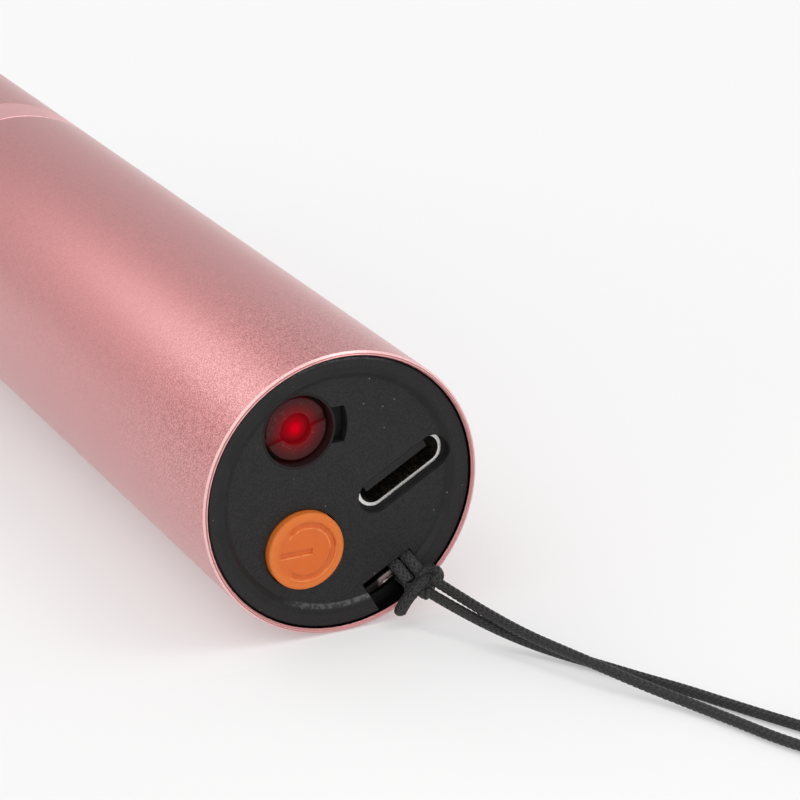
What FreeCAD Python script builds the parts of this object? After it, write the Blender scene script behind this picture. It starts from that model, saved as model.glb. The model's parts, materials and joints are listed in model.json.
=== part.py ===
import FreeCAD, Part
import math
import os
import Sketcher

# A rechargeable cat laser pointer: a round anodised barrel lying on its side along Y, front end
# towards -Y. Sizes are in millimetres and degrees. Depths run from the rim of the front end
# towards the tail. The insides have a frame of their own, turned about the tube's axis: its
# "across" runs along the charging port and its "up" runs from the wrist cord to the laser.

Vector = FreeCAD.Vector

SIZES = {
    # barrel
    "tube_length": 81.7,
    "tube_wall": 1.0,
    "rim_chamfer": 0.28,
    "rim_flat": 0.04,
    "rim_bevel": 0.13,
    "rim_bevel_depth": 0.32,
    "edge_break": 0.08,
    "inside_turn": 29.3,
    # front plate
    "plate_gap": 0.1,
    "plate_recess": 0.45,
    "plate_thickness": 2.2,
    "plate_chamfer": 0.12,
    "border_width": 1.5,
    "border_depth": 0.35,
    "border_slope": 0.5,
    # laser aperture
    "laser_across": -0.2,
    "sleeve_clearance": 0.22,
    "sleeve_wall": 0.2,
    "sleeve_gap": 0.02,
    "key_proud": 1.13,
    "key_width": 3.3,
    "key_depth": 0.75,
    "key_turn": -29.3,
    # laser module
    "module_radius": 3.0,
    "module_length": 10.2,
    "module_recess": 1.6,
    "lens_head_inset": 0.15,
    "lens_head_recess": 0.6,
    "lens_head_thickness": 0.55,
    "lens_lip": 0.4,
    "lens_curve": 2.6,
    "lens_thickness": 1.55,
    "lens_gap": 0.05,
    "lens_setback": 0.15,
    "barrel_wall": 0.6,
    "stem_wall": 0.45,
    "stem_length": 3.25,
    "spanner_width": 0.8,
    "spanner_depth": 0.35,
    "spanner_turn": -12.3,
    "web_depth": 5.6,
    "web_thickness": 0.6,
    "focus_wire": 0.3,
    "focus_spring_inset": 0.25,
    "diode_radius": 1.35,
    "diode_height": 1.4,
    "diode_flange_radius": 1.9,
    "diode_flange": 1.0,
    "diode_leg_radius": 0.2,
    "driver_thickness": 0.8,
    "driver_chip": 1.6,
    "lead_radius": 0.3,
    "lead_spread": 0.9,
    "lead_drop": 1.2,
    # power button
    "button_across": -5.31,
    "button_up": -2.4,
    "button_radius": 3.56,
    "button_gap": 0.12,
    "button_proud": 0.75,
    "button_rounding": 0.27,
    "button_travel": 0.45,
    "flange_lip": 0.8,
    "flange_thickness": 0.6,
    "flange_gap": 0.05,
    "button_stem_radius": 1.2,
    "button_stem_length": 1.0,
    "mark_radius": 2.24,
    "mark_stroke": 0.45,
    "mark_depth": 0.12,
    "mark_gap": 105.0,
    "mark_bar_length": 3.0,
    "mark_bar_start": 0.5,
    # switch behind the button
    "switch_gap": 0.17,
    "switch_width": 6.0,
    "switch_height": 2.9,
    "switch_depth": 3.6,
    "cover_thickness": 0.3,
    "cover_arm": 2.4,
    "plunger_radius": 1.1,
    "plunger_proud": 1.1,
    "plunger_foot_radius": 1.25,
    "plunger_foot": 0.5,
    "plunger_foot_gap": 0.05,
    "plunger_clearance": 0.12,
    # charging port
    "port_across": 5.67,
    "port_up": -2.31,
    "mouth_wider": 0.6,
    "mouth_taller": 0.14,
    "mouth_drop": 0.3,
    "mouth_lip": 0.7,
    "shell_width": 8.94,
    "shell_height": 3.16,
    "shell_wall": 0.3,
    "shell_length": 7.3,
    "shell_gap": 0.1,
    "tongue_side_gap": 0.825,
    "tongue_thickness": 0.7,
    "tongue_recess": 0.8,
    "tongue_length": 4.6,
    "tongue_overlap": 0.5,
    "pad_pitch": 0.5,
    "pad_width": 0.25,
    "pad_length": 3.6,
    "pad_thickness": 0.08,
    "pad_setback": 0.4,
    # wrist cord notch
    "notch_width": 5.3,
    "notch_room": 1.2,
    "notch_depth": 3.6,
    "bar_inset": 2.15,
    "bar_depth": 1.5,
    "bar_radius": 0.5,
    "bar_seat": 1.5,
    "bar_gap": 0.02,
    # carrier that holds the insides
    "carrier_gap": 0.15,
    "carrier_face": 1.75,
    "carrier_hole_gap": 0.1,
    "carrier_length": 36.35,
    "rear_ring": 1.6,
    "rear_ring_bore": 8.5,
    "rail_wall": 2.45,
    "groove_wall": 1.65,
    "rail_low": -2.4,
    "rail_high": 4.1,
    "bridge_thickness": 1.2,
    "bridge_start": 7.35,
    "bridge_length": 5.0,
    "cradle_wall": 1.2,
    "cradle_inset": 0.35,
    "cradle_start": 4.35,
    "cradle_length": 5.6,
    # circuit board and what it carries
    "board_thickness": 1.0,
    "board_front_gap": 0.2,
    "board_rear_gap": 0.4,
    "board_gap": 0.05,
    "screw_across": 7.5,
    "screw_radius": 0.7,
    "screw_length": 3.4,
    "screw_head_radius": 1.5,
    "screw_head": 0.7,
    "screw_slot": 0.4,
    "post_radius": 1.6,
    "charge_chip_across": -4.6,
    "charge_chip_setback": 16.0,
    "charge_chip_length": 5.0,
    "control_chip_across": 4.4,
    "control_chip_setback": 18.0,
    "control_chip_length": 8.7,
    "chip_width": 4.0,
    "chip_height": 1.5,
    "chip_leg": 0.4,
    "chip_leg_thickness": 0.25,
    "chip_leg_reach": 1.0,
    "inductor_setback": 8.5,
    "inductor_side": 5.2,
    "inductor_foot": 0.5,
    "inductor_drum_radius": 2.3,
    "inductor_height": 2.6,
    "capacitor_across": 1.2,
    "capacitor_setback": 7.0,
    "capacitor_length": 1.6,
    "capacitor_side": 0.8,
    "capacitor_pitch": 2.2,
    "pin_side": 0.6,
    "pin_length": 5.0,
    "pin_pitch": 2.54,
    # battery and its contacts
    "contact_board_gap": 1.0,
    "contact_board_thickness": 1.6,
    "contact_height": 0.4,
    "contact_radius": 3.5,
    "contact_tip_radius": 2.1,
    "clip_gap": 0.2,
    "clip_thickness": 0.3,
    "clip_width": 3.0,
    "clip_foot": 3.6,
    "clip_leaf": 3.9,
    "cell_radius": 9.2,
    "cell_room": 2.8,
    "cell_length": 65.0,
    "wrap_thickness": 0.1,
    "wrap_lip": 1.0,
    "crimp_depth": 0.5,
    "crimp_width": 0.9,
    "cap_proud": 1.2,
    "cap_radius": 3.2,
    "cap_flange_radius": 4.55,
    "cap_flange": 0.3,
    "spacer_setback": 4.0,
    "spacer_gap": 0.15,
    # tail end
    "neck_insert": 7.7,
    "neck_reach": 9.74,
    "neck_press_gap": 0.02,
    "neck_wall": 1.5,
    "neck_chamfer": 0.4,
    "thread_setback": 3.74,
    "thread_pitch": 1.25,
    "thread_height": 0.35,
    "seal_depth": 1.0,
    "seal_section": 0.9,
    "seal_squeeze": 0.07,
    "seal_side_gap": 0.1,
    "ring_width": 5.5,
    "ring_gap": 0.2,
    "seam_gap": 0.03,
    "tail_skirt": 0.95,
    "tail_bore_gap": 0.15,
    "tail_step_gap": 1.5,
    "tail_ledge": 0.85,
    "tail_room": 11.0,
    "tail_wall": 3.0,
    "tail_chamfer": 0.8,
    "tail_contact_thickness": 0.5,
    "tail_contact_gap": 0.1,
    "tail_wire": 0.8,
    "tail_spring_base": 7.0,
    "tail_spring_tip": 3.0,
    "tail_spring_gap": 0.2,
    # wrist cord
    "cord_diameter": 1.05,
    "cord_lift": 0.55,
    "hitch_thickness": 0.6,
    "hitch_width": 1.15,
    "hitch_pitch": 1.25,
    "hitch_spread": 0.45,
    "hitch_into_knot": 0.9,
    "knot_across": 2.0,
    "knot_drop": 1.03,
    "knot_front": 1.4,
    "knot_width": 1.9,
    "knot_length": 1.45,
    "knot_height": 1.35,
    "coil_outer": 8.4,
    "coil_inner": 4.2,
    "coil_layer": 1.5,
}

# The cord's route in front of the rim: millimetres from the foot of the rim plane, the third
# number being the height of its centre line above the table. Strand a crosses over strand b.
STRAND_A = [
    (7.6, -1.9, 4.4), (8.5, -3.5, 3.9), (9.9, -6.9, 3.12), (11.6, -11.4, 2.4), (13.25, -15.3, 2.05),
    (15.0, -19.2, 1.65), (17.1, -23.0, 1.1), (19.3, -26.8, 0.65), (21.0, -31.0, 0.55),
    (22.5, -35.2, 0.55), (24.4, -38.7, 0.6), (26.8, -41.2, 0.95), (29.2, -42.79, 1.85),
]
STRAND_B = [
    (7.0, -2.2, 3.35), (8.1, -4.2, 2.7), (10.1, -7.7, 1.75), (12.3, -10.7, 0.95), (14.3, -13.6, 0.6),
    (16.3, -16.9, 0.55), (18.1, -20.3, 0.55), (20.1, -23.7, 0.55), (22.0, -27.6, 0.55),
    (24.2, -31.9, 0.55), (26.5, -36.1, 0.55),
]
CORD_END = [(6.6, -1.5, 3.75), (5.75, -1.55, 3.1), (5.1, -1.5, 2.2), (4.6, -1.5, 1.45)]
COIL_CENTRE = (36.5, -37.3)
COIL_ENTRY = 205.0
COIL_EXIT = 240.0
COIL_TURNS_DOWN = 2.75
CORD_SHARE = 0.45

THREAD_RIDGES = 4
FOCUS_TURNS = 6
TAIL_TURNS = 4.5
PORT_CONTACTS = 12
CHARGE_CHIP_LEGS = 4
CONTROL_CHIP_LEGS = 7
CAPACITORS = 4
LINK_PINS = 3
HITCH_TURNS = 2


class Size:
    """A length or an angle: its number, and the expression of the sheet's cells that gives it."""

    def __init__(self, number, text):
        self.number = number
        self.text = text

    def __add__(self, other):
        other = as_size(other)
        return Size(self.number + other.number, "(%s + %s)" % (self.text, other.text))

    def __sub__(self, other):
        other = as_size(other)
        return Size(self.number - other.number, "(%s - %s)" % (self.text, other.text))

    def __mul__(self, other):
        other = as_size(other)
        return Size(self.number * other.number, "(%s * %s)" % (self.text, other.text))

    def __truediv__(self, other):
        other = as_size(other)
        return Size(self.number / other.number, "(%s / %s)" % (self.text, other.text))

    def __neg__(self):
        return Size(-self.number, "(0 - %s)" % self.text)


def as_size(value):
    """A plain number as a Size."""
    return value if isinstance(value, Size) else Size(float(value), "%.6f" % value)


def cosine(angle):
    """The cosine of an angle in degrees."""
    return Size(math.cos(math.radians(angle.number)), "cos(%s)" % angle.text)


def sine(angle):
    """The sine of an angle in degrees."""
    return Size(math.sin(math.radians(angle.number)), "sin(%s)" % angle.text)


class Sizes:
    """The driving sizes, each by its name."""


doc = FreeCAD.newDocument("cat_laser_pointer")
sheet = doc.addObject("Spreadsheet::Sheet", "dims")
d = Sizes()
for row, (name, number) in enumerate(SIZES.items(), 1):
    sheet.set("A%d" % row, name)
    sheet.set("B%d" % row, str(number))
    sheet.setAlias("B%d" % row, name)
    setattr(d, name, Size(number, "dims." + name))
doc.recompute()

# Sizes that follow from the driving ones. The cell sets the tube's bore and the whole length.
tube_bore = d.cell_radius + d.cell_room
tube_radius = tube_bore + d.tube_wall
rim_bore = tube_radius - d.rim_chamfer - d.rim_flat - d.rim_bevel
plate_radius = rim_bore - d.plate_gap
plate_floor = d.plate_recess + d.border_depth
plate_back = d.plate_recess + d.plate_thickness
bar_up = d.bar_inset - plate_radius
notch_up = bar_up + d.notch_room
knot_up = bar_up - d.knot_drop

carrier_radius = tube_bore - d.carrier_gap
carrier_back = plate_back + d.carrier_face
carrier_end = plate_back + d.carrier_length
rail_start = carrier_radius - d.rail_wall
bridge_front = plate_back + d.bridge_start
board_under = d.port_up + d.shell_height / 2
board_top = board_under + d.board_thickness
board_half = carrier_radius - d.groove_wall
board_start = carrier_back + d.board_front_gap
board_end = carrier_end - d.rear_ring - d.board_rear_gap
screw_depth = bridge_front + d.bridge_length / 2

laser_up = carrier_radius - d.cradle_inset - d.cradle_wall - d.module_radius
sleeve_radius = d.module_radius + d.sleeve_clearance + d.sleeve_wall
key_reach = sleeve_radius + d.key_proud
lens_head_radius = d.module_radius - d.lens_head_inset
lens_head_front = plate_floor + d.lens_head_recess
lens_head_back = lens_head_front + d.lens_head_thickness
stem_radius = d.module_radius - d.barrel_wall - d.lens_gap
lens_radius = stem_radius - d.stem_wall - d.lens_gap
lens_opening = lens_radius - d.lens_lip
lens_back = lens_head_front + d.lens_thickness + d.lens_setback
module_front = plate_floor + d.module_recess
module_end = module_front + d.module_length
web_front = module_front + d.web_depth
web_back = web_front + d.web_thickness

button_front = plate_floor - d.button_proud
flange_radius = d.button_radius + d.flange_lip
flange_front = plate_back + d.flange_gap
flange_back = flange_front + d.flange_thickness
plunger_tip = flange_back + d.button_travel + d.button_stem_length + d.switch_gap
cover_front = plunger_tip + d.plunger_proud
base_front = cover_front + d.cover_thickness
switch_up = board_under - d.switch_height / 2

shell_inner_width = d.shell_width - d.shell_wall * 2
shell_inner_height = d.shell_height - d.shell_wall * 2
shell_front = plate_floor + d.mouth_lip
shell_back = shell_front + d.shell_length
tongue_front = shell_front + d.tongue_recess
tongue_back = tongue_front + d.tongue_length

contact_board_back = carrier_end + d.contact_board_thickness
cell_start = contact_board_back + d.contact_height
cell_end = cell_start + d.cell_length
can_start = cell_start + d.cap_proud - d.cap_flange
can_radius = d.cell_radius - d.wrap_thickness

neck_start = d.tube_length - d.neck_insert
ring_front = d.tube_length + d.seam_gap
ring_back = ring_front + d.ring_width
tail_front = ring_back + d.seam_gap
neck_end = tail_front + d.neck_reach
tail_neck_bore = tube_radius - d.tail_skirt
neck_radius = tail_neck_bore - d.tail_bore_gap
tail_bore = tail_neck_bore - d.tail_ledge
tail_inside = cell_end + d.tail_room
total_length = tail_inside + d.tail_wall
seal_start = tail_front + d.seal_depth


def set_size(thing, path, value):
    """Bind a property of an object to an expression of the sheet's cells."""
    thing.setExpression(path, as_size(value).text)


def place(thing, across=0, up=0, depth=0):
    """Put an object of the insides' frame into the part's frame."""
    across, up, depth = as_size(across), as_size(up), as_size(depth)
    lean_cos, lean_sin = cosine(d.inside_turn), sine(d.inside_turn)
    thing.Placement = FreeCAD.Placement(Vector(0, 0, 0), FreeCAD.Rotation(Vector(0, 1, 0), -1))
    set_size(thing, "Placement.Base.x", across * lean_cos - up * lean_sin)
    set_size(thing, "Placement.Base.y", depth - total_length / 2)
    set_size(thing, "Placement.Base.z", tube_radius + across * lean_sin + up * lean_cos)
    set_size(thing, "Placement.Rotation.Angle", -d.inside_turn)


def new_body(label, across=0, up=0, depth=0):
    """A body in the insides' frame, with its own origin at the given place."""
    body = doc.addObject("PartDesign::Body", label)
    place(body, across, up, depth)
    return body


def sketch_on(body, role, name, shift=(0, 0, 0), turn=0):
    """A sketch on one of the body's own origin planes, moved and turned within it."""
    sketch = body.newObject("Sketcher::SketchObject", body.Name + "_" + name)
    plane = next(item for item in body.Origin.OriginFeatures if item.Role == role)
    sketch.AttachmentSupport = [(plane, "")]
    sketch.MapMode = "FlatFace"
    sketch.AttachmentOffset = FreeCAD.Placement(Vector(0, 0, 0), FreeCAD.Rotation(Vector(0, 0, 1), 1))
    for axis, value in zip("xyz", shift):
        set_size(sketch, "AttachmentOffset.Base." + axis, value)
    set_size(sketch, "AttachmentOffset.Rotation.Angle", turn)
    return sketch


def face_sketch(body, name, depth, across=0, up=0, turn=0):
    """A sketch square to the tube's axis, at a depth, seen from the front."""
    return sketch_on(body, "XZ_Plane", name, (across, up, -as_size(depth)), turn)


def fix_point(sketch, geometry, vertex, x, y):
    """Tie a vertex to its distances from the sketch's own axes."""
    for kind, axis, value in (("DistanceX", -2, as_size(x)), ("DistanceY", -1, as_size(y))):
        if value.text == as_size(0).text:
            sketch.addConstraint(Sketcher.Constraint("PointOnObject", geometry, vertex, axis))
        else:
            rule = Sketcher.Constraint(kind, -1, 1, geometry, vertex, value.number)
            index = sketch.addConstraint(rule)
            sketch.setExpression("Constraints[%d]" % index, value.text)


def polygon(sketch, points):
    """A closed outline of straight sides."""
    points = [(as_size(x), as_size(y)) for x, y in points]
    flat = [Vector(x.number, y.number, 0) for x, y in points]
    first = sketch.GeometryCount
    count = len(flat)
    for index in range(count):
        sketch.addGeometry(Part.LineSegment(flat[index], flat[(index + 1) % count]), False)
    for index in range(count):
        after = first + (index + 1) % count
        sketch.addConstraint(Sketcher.Constraint("Coincident", first + index, 2, after, 1))
    for index, (x, y) in enumerate(points):
        fix_point(sketch, first + index, 1, x, y)


def rectangle(sketch, width, height, x=0, y=0):
    """A rectangle about a point."""
    x, y = as_size(x), as_size(y)
    half_width, half_height = as_size(width) / 2, as_size(height) / 2
    polygon(sketch, [
        (x - half_width, y - half_height), (x + half_width, y - half_height),
        (x + half_width, y + half_height), (x - half_width, y + half_height),
    ])


def circle(sketch, radius, x=0, y=0):
    """A circle about a point."""
    radius = as_size(radius)
    centre = Vector(as_size(x).number, as_size(y).number, 0)
    index = sketch.addGeometry(Part.Circle(centre, Vector(0, 0, 1), radius.number), False)
    fix_point(sketch, index, 3, x, y)
    rule = sketch.addConstraint(Sketcher.Constraint("Radius", index, radius.number))
    sketch.setExpression("Constraints[%d]" % rule, radius.text)


def stadium(sketch, width, height):
    """A slot with round ends, along the sketch's first axis and centred on its origin."""
    reach = (as_size(width) - as_size(height)) / 2
    radius = as_size(height) / 2
    far, rise = reach.number, radius.number
    first = sketch.GeometryCount
    normal = Vector(0, 0, 1)
    sketch.addGeometry([
        Part.LineSegment(Vector(far, rise, 0), Vector(-far, rise, 0)),
        Part.ArcOfCircle(Part.Circle(Vector(-far, 0, 0), normal, rise), math.pi / 2, 3 * math.pi / 2),
        Part.LineSegment(Vector(-far, -rise, 0), Vector(far, -rise, 0)),
        Part.ArcOfCircle(Part.Circle(Vector(far, 0, 0), normal, rise), -math.pi / 2, math.pi / 2),
    ], False)
    for index in range(4):
        after = first + (index + 1) % 4
        sketch.addConstraint(Sketcher.Constraint("Tangent", first + index, 2, after, 1))
    sketch.addConstraint(Sketcher.Constraint("Equal", first + 1, first + 3))
    fix_point(sketch, first + 1, 3, -reach, 0)
    fix_point(sketch, first + 3, 3, reach, 0)
    rule = sketch.addConstraint(Sketcher.Constraint("Radius", first + 1, rise))
    sketch.setExpression("Constraints[%d]" % rule, radius.text)


def tab(sketch, start, reach, width):
    """A tab along the sketch's first axis, with its outer end round about the sketch's origin."""
    start, reach, half = as_size(start), as_size(reach), as_size(width) / 2
    shoulder = math.sqrt(reach.number ** 2 - half.number ** 2)
    swing = math.asin(half.number / reach.number)
    low, high = Vector(shoulder, -half.number, 0), Vector(shoulder, half.number, 0)
    near_low, near_high = Vector(start.number, -half.number, 0), Vector(start.number, half.number, 0)
    outer = Part.Circle(Vector(0, 0, 0), Vector(0, 0, 1), reach.number)
    first = sketch.GeometryCount
    sketch.addGeometry([
        Part.LineSegment(near_low, low), Part.ArcOfCircle(outer, -swing, swing),
        Part.LineSegment(high, near_high), Part.LineSegment(near_high, near_low),
    ], False)
    for index in range(4):
        after = first + (index + 1) % 4
        sketch.addConstraint(Sketcher.Constraint("Coincident", first + index, 2, after, 1))
    for side in (first, first + 2):
        sketch.addConstraint(Sketcher.Constraint("Horizontal", side))
    fix_point(sketch, first, 1, start, -half)
    fix_point(sketch, first + 2, 2, start, half)
    fix_point(sketch, first + 1, 3, 0, 0)
    rule = sketch.addConstraint(Sketcher.Constraint("Radius", first + 1, reach.number))
    sketch.setExpression("Constraints[%d]" % rule, reach.text)


def pad(body, name, sketch, length, towards_tail=True):
    """Raise a sketch along the depth, or along its own normal."""
    feature = body.newObject("PartDesign::Pad", body.Name + "_" + name)
    feature.Profile = sketch
    feature.Length = as_size(length).number
    set_size(feature, "Length", length)
    feature.Reversed = towards_tail
    sketch.Visibility = False
    return feature


def pocket(body, name, sketch, depth, backwards=False):
    """Cut a sketch into the body, towards the tail unless it is told to go backwards."""
    feature = body.newObject("PartDesign::Pocket", body.Name + "_" + name)
    feature.Profile = sketch
    feature.Type = 0
    feature.Length = as_size(depth).number
    set_size(feature, "Length", depth)
    feature.Reversed = backwards
    cuts.append((feature, feature.BaseFeature))
    return feature


def turned(label, outline, across=0, up=0):
    """A body turned about the tube's axis, or one beside it, from (radius, depth) points."""
    body = new_body(label, across, up)
    sketch = sketch_on(body, "XY_Plane", "outline")
    polygon(sketch, outline)
    feature = body.newObject("PartDesign::Revolution", label + "_turn")
    feature.Profile = sketch
    feature.ReferenceAxis = (sketch, ["V_Axis"])
    feature.Angle = 360
    return body


def tube_outline(inner, outer, start, end):
    """The outline of a plain ring or tube."""
    return [(inner, start), (outer, start), (outer, end), (inner, end)]


def primitive(kind, name, sizes, at, turn=None):
    """A Part primitive in the insides' frame, before its group is placed."""
    thing = doc.addObject("Part::" + kind, name)
    for path, value in sizes.items():
        set_size(thing, path, value)
    thing.Placement = FreeCAD.Placement(Vector(0, 0, 0), turn or FreeCAD.Rotation())
    for axis, value in zip("xyz", at):
        set_size(thing, "Placement.Base." + axis, value)
    return thing


def block(name, across, depth, up, width, length, height):
    """A box given by its middle across, its front depth and its underside."""
    across, width = as_size(across), as_size(width)
    sizes = {"Length": width, "Width": length, "Height": height}
    return primitive("Box", name, sizes, (across - width / 2, depth, up))


def group(label, members, kind="Compound"):
    """Several solids as one sub-part: a compound of separate ones, or a fused one."""
    thing = doc.addObject("Part::" + kind, label)
    if kind == "Compound":
        thing.Links = members
    else:
        thing.Shapes = members
    place(thing)
    return thing


TOWARDS_TAIL = FreeCAD.Rotation(Vector(1, 0, 0), -90)
cuts = []


def make_body_tube():
    outline = [
        (tube_radius - d.rim_chamfer, 0), (tube_radius, d.rim_chamfer),
        (tube_radius, d.tube_length - d.edge_break), (tube_radius - d.edge_break, d.tube_length),
        (tube_bore, d.tube_length), (tube_bore, plate_back), (rim_bore, plate_back),
        (rim_bore, d.rim_bevel_depth), (rim_bore + d.rim_bevel, 0),
    ]
    return turned("body_tube", outline)


def make_front_plate():
    border = plate_radius - d.border_width
    body = turned("front_plate", [
        (0, plate_floor), (border - d.border_slope, plate_floor), (border, d.plate_recess),
        (plate_radius - d.plate_chamfer, d.plate_recess),
        (plate_radius, d.plate_recess + d.plate_chamfer), (plate_radius, plate_back), (0, plate_back),
    ])
    through = d.plate_thickness
    hole = face_sketch(body, "laser_hole", d.plate_recess, d.laser_across, laser_up)
    circle(hole, sleeve_radius + d.sleeve_gap)
    pocket(body, "laser_cut", hole, through)
    key = face_sketch(body, "key", d.plate_recess, d.laser_across, laser_up, d.key_turn)
    tab(key, 0, key_reach, d.key_width)
    pocket(body, "key_cut", key, through)
    mouth = face_sketch(body, "mouth", d.plate_recess, d.port_across, d.port_up - d.mouth_drop)
    stadium(mouth, d.shell_width + d.mouth_wider, d.shell_height + d.mouth_taller)
    pocket(body, "mouth_cut", mouth, shell_front - d.plate_recess)
    seat = face_sketch(body, "port_seat", shell_front, d.port_across, d.port_up)
    stadium(seat, d.shell_width + d.shell_gap * 2, d.shell_height + d.shell_gap * 2)
    pocket(body, "port_seat_cut", seat, plate_back - shell_front)
    button = face_sketch(body, "button_hole", d.plate_recess, d.button_across, d.button_up)
    circle(button, d.button_radius + d.button_gap)
    pocket(body, "button_cut", button, through)
    notch = face_sketch(body, "notch", d.plate_recess)
    notch_half = d.notch_width / 2
    polygon(notch, [
        (-notch_half, notch_up), (-notch_half, -tube_radius),
        (notch_half, -tube_radius), (notch_half, notch_up),
    ])
    pocket(body, "notch_cut", notch, through)
    slot_start = d.bar_depth - d.bar_radius - d.bar_gap
    slot = face_sketch(body, "bar_slot", slot_start, 0, bar_up)
    rectangle(slot, d.notch_width + (d.bar_seat + d.bar_gap) * 2, (d.bar_radius + d.bar_gap) * 2)
    pocket(body, "bar_slot_cut", slot, plate_back - slot_start)
    return body


def make_laser():
    at = (d.laser_across, laser_up)
    inner = sleeve_radius - d.sleeve_wall
    sleeve = turned("laser_sleeve", tube_outline(inner, sleeve_radius, plate_floor, plate_back), *at)
    key = face_sketch(sleeve, "key", plate_back - d.key_depth, 0, 0, d.key_turn)
    key_root = inner + d.sleeve_wall / 2
    tab(key, key_root, key_reach - d.sleeve_gap * 2, d.key_width - d.sleeve_gap * 4)
    pad(sleeve, "key_pad", key, d.key_depth)

    head = lens_head_radius
    stem_end = lens_head_back + d.stem_length
    lens_seat = lens_radius + d.lens_gap
    ring = turned("laser_lens_ring", [
        (lens_opening, lens_head_front), (head - d.edge_break, lens_head_front),
        (head, lens_head_front + d.edge_break), (head, lens_head_back),
        (stem_radius, lens_head_back), (stem_radius, stem_end), (lens_seat, stem_end),
        (lens_seat, lens_head_back), (lens_opening, lens_head_back),
    ], *at)
    slot = face_sketch(ring, "spanner", lens_head_front, 0, 0, d.spanner_turn)
    rectangle(slot, (lens_head_radius + d.spanner_width) * 2, d.spanner_width)
    pocket(ring, "spanner_cut", slot, d.spanner_depth)

    dome_top = lens_back - d.lens_thickness
    dome = primitive("Sphere", "lens_dome", {"Radius": d.lens_curve}, (0, dome_top + d.lens_curve, 0))
    edge = primitive("Cylinder", "lens_edge", {"Radius": lens_radius, "Height": d.lens_thickness},
                     (0, dome_top, 0), TOWARDS_TAIL)
    lens = doc.addObject("Part::Common", "laser_lens")
    lens.Base = dome
    lens.Tool = edge
    place(lens, *at)

    bore = stem_radius + d.lens_gap
    diode_hole = d.diode_radius + d.lens_gap
    diode_seat = d.diode_flange_radius + d.lens_gap
    turned("laser_barrel", [
        (bore, module_front), (d.module_radius, module_front), (d.module_radius, module_end),
        (diode_seat, module_end), (diode_seat, web_back), (diode_hole, web_back),
        (diode_hole, web_front), (bore, web_front),
    ], *at)
    flange_end = web_back + d.diode_flange
    can_top = web_back - d.diode_height
    diode = turned("laser_diode", [
        (0, can_top), (d.diode_radius, can_top), (d.diode_radius, web_back),
        (d.diode_flange_radius, web_back), (d.diode_flange_radius, flange_end), (0, flange_end),
    ], *at)
    driver_front = module_end - d.driver_thickness
    legs = face_sketch(diode, "legs", flange_end)
    for angle in (90, 210, 330):
        spread = d.diode_flange_radius / 2
        x = spread * math.cos(math.radians(angle))
        y = spread * math.sin(math.radians(angle))
        circle(legs, d.diode_leg_radius, x, y)
    pad(diode, "legs_pad", legs, driver_front - flange_end)
    driver = turned("laser_driver_board",
                    [(0, driver_front), (d.diode_flange_radius, driver_front),
                     (d.diode_flange_radius, module_end), (0, module_end)], *at)
    chip = face_sketch(driver, "chip", module_end)
    rectangle(chip, d.driver_chip, d.driver_chip)
    pad(driver, "chip_pad", chip, d.driver_chip / 3)


def make_power_button():
    at = (d.button_across, d.button_up)
    stem_end = plunger_tip - d.switch_gap
    button = turned("power_button", [
        (0, button_front), (d.button_radius, button_front), (d.button_radius, flange_front),
        (flange_radius, flange_front), (flange_radius, flange_back),
        (d.button_stem_radius, flange_back), (d.button_stem_radius, stem_end), (0, stem_end),
    ], *at)
    doc.recompute()
    base = button.Tip
    edges = [
        "Edge%d" % (index + 1) for index, edge in enumerate(base.Shape.Edges)
        if edge.BoundBox.YMax < button_front.number + 0.01 and edge.Closed
    ]
    rounding = button.newObject("PartDesign::Fillet", "power_button_rounding")
    rounding.Base = (base, edges)
    rounding.Radius = d.button_rounding.number
    set_size(rounding, "Radius", d.button_rounding)
    doc.recompute()

    # The arc and bar are a plain power mark, with the opening towards the side of the tube.
    arc = face_sketch(button, "mark_arc", button_front, 0, 0, -d.inside_turn)
    half_gap = SIZES["mark_gap"] / 2
    ends = (math.radians(180 + half_gap), math.radians(540 - half_gap))
    inner, outer = d.mark_radius, d.mark_radius + d.mark_stroke
    normal = Vector(0, 0, 1)
    for radius in (inner, outer):
        arc.addGeometry(Part.ArcOfCircle(Part.Circle(Vector(0, 0, 0), normal, radius.number), *ends), False)
    for side, angle in ((0, ends[0]), (1, ends[1])):
        reach = Vector(math.cos(angle), math.sin(angle), 0)
        arc.addGeometry(Part.LineSegment(reach * inner.number, reach * outer.number), False)
        vertex = 1 + side
        arc.addConstraint(Sketcher.Constraint("Coincident", 2 + side, 1, 0, vertex))
        arc.addConstraint(Sketcher.Constraint("Coincident", 2 + side, 2, 1, vertex))
    for index, radius in ((0, inner), (1, outer)):
        fix_point(arc, index, 3, 0, 0)
        rule = arc.addConstraint(Sketcher.Constraint("Radius", index, radius.number))
        arc.setExpression("Constraints[%d]" % rule, radius.text)
    open_half = d.mark_gap / 2
    for index, radius in ((0, inner), (1, outer)):
        for vertex, sign in ((1, -1), (2, 1)):
            height = radius * sine(open_half) * sign
            rule = arc.addConstraint(Sketcher.Constraint("DistanceY", -1, 1, index, vertex, height.number))
            arc.setExpression("Constraints[%d]" % rule, height.text)
    pocket(button, "mark_arc_cut", arc, d.mark_depth)
    bar = face_sketch(button, "mark_bar", button_front, 0, 0, -d.inside_turn)
    rectangle(bar, d.mark_bar_length, d.mark_stroke, d.mark_bar_start - d.mark_bar_length / 2)
    pocket(button, "mark_bar_cut", bar, d.mark_depth)


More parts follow.
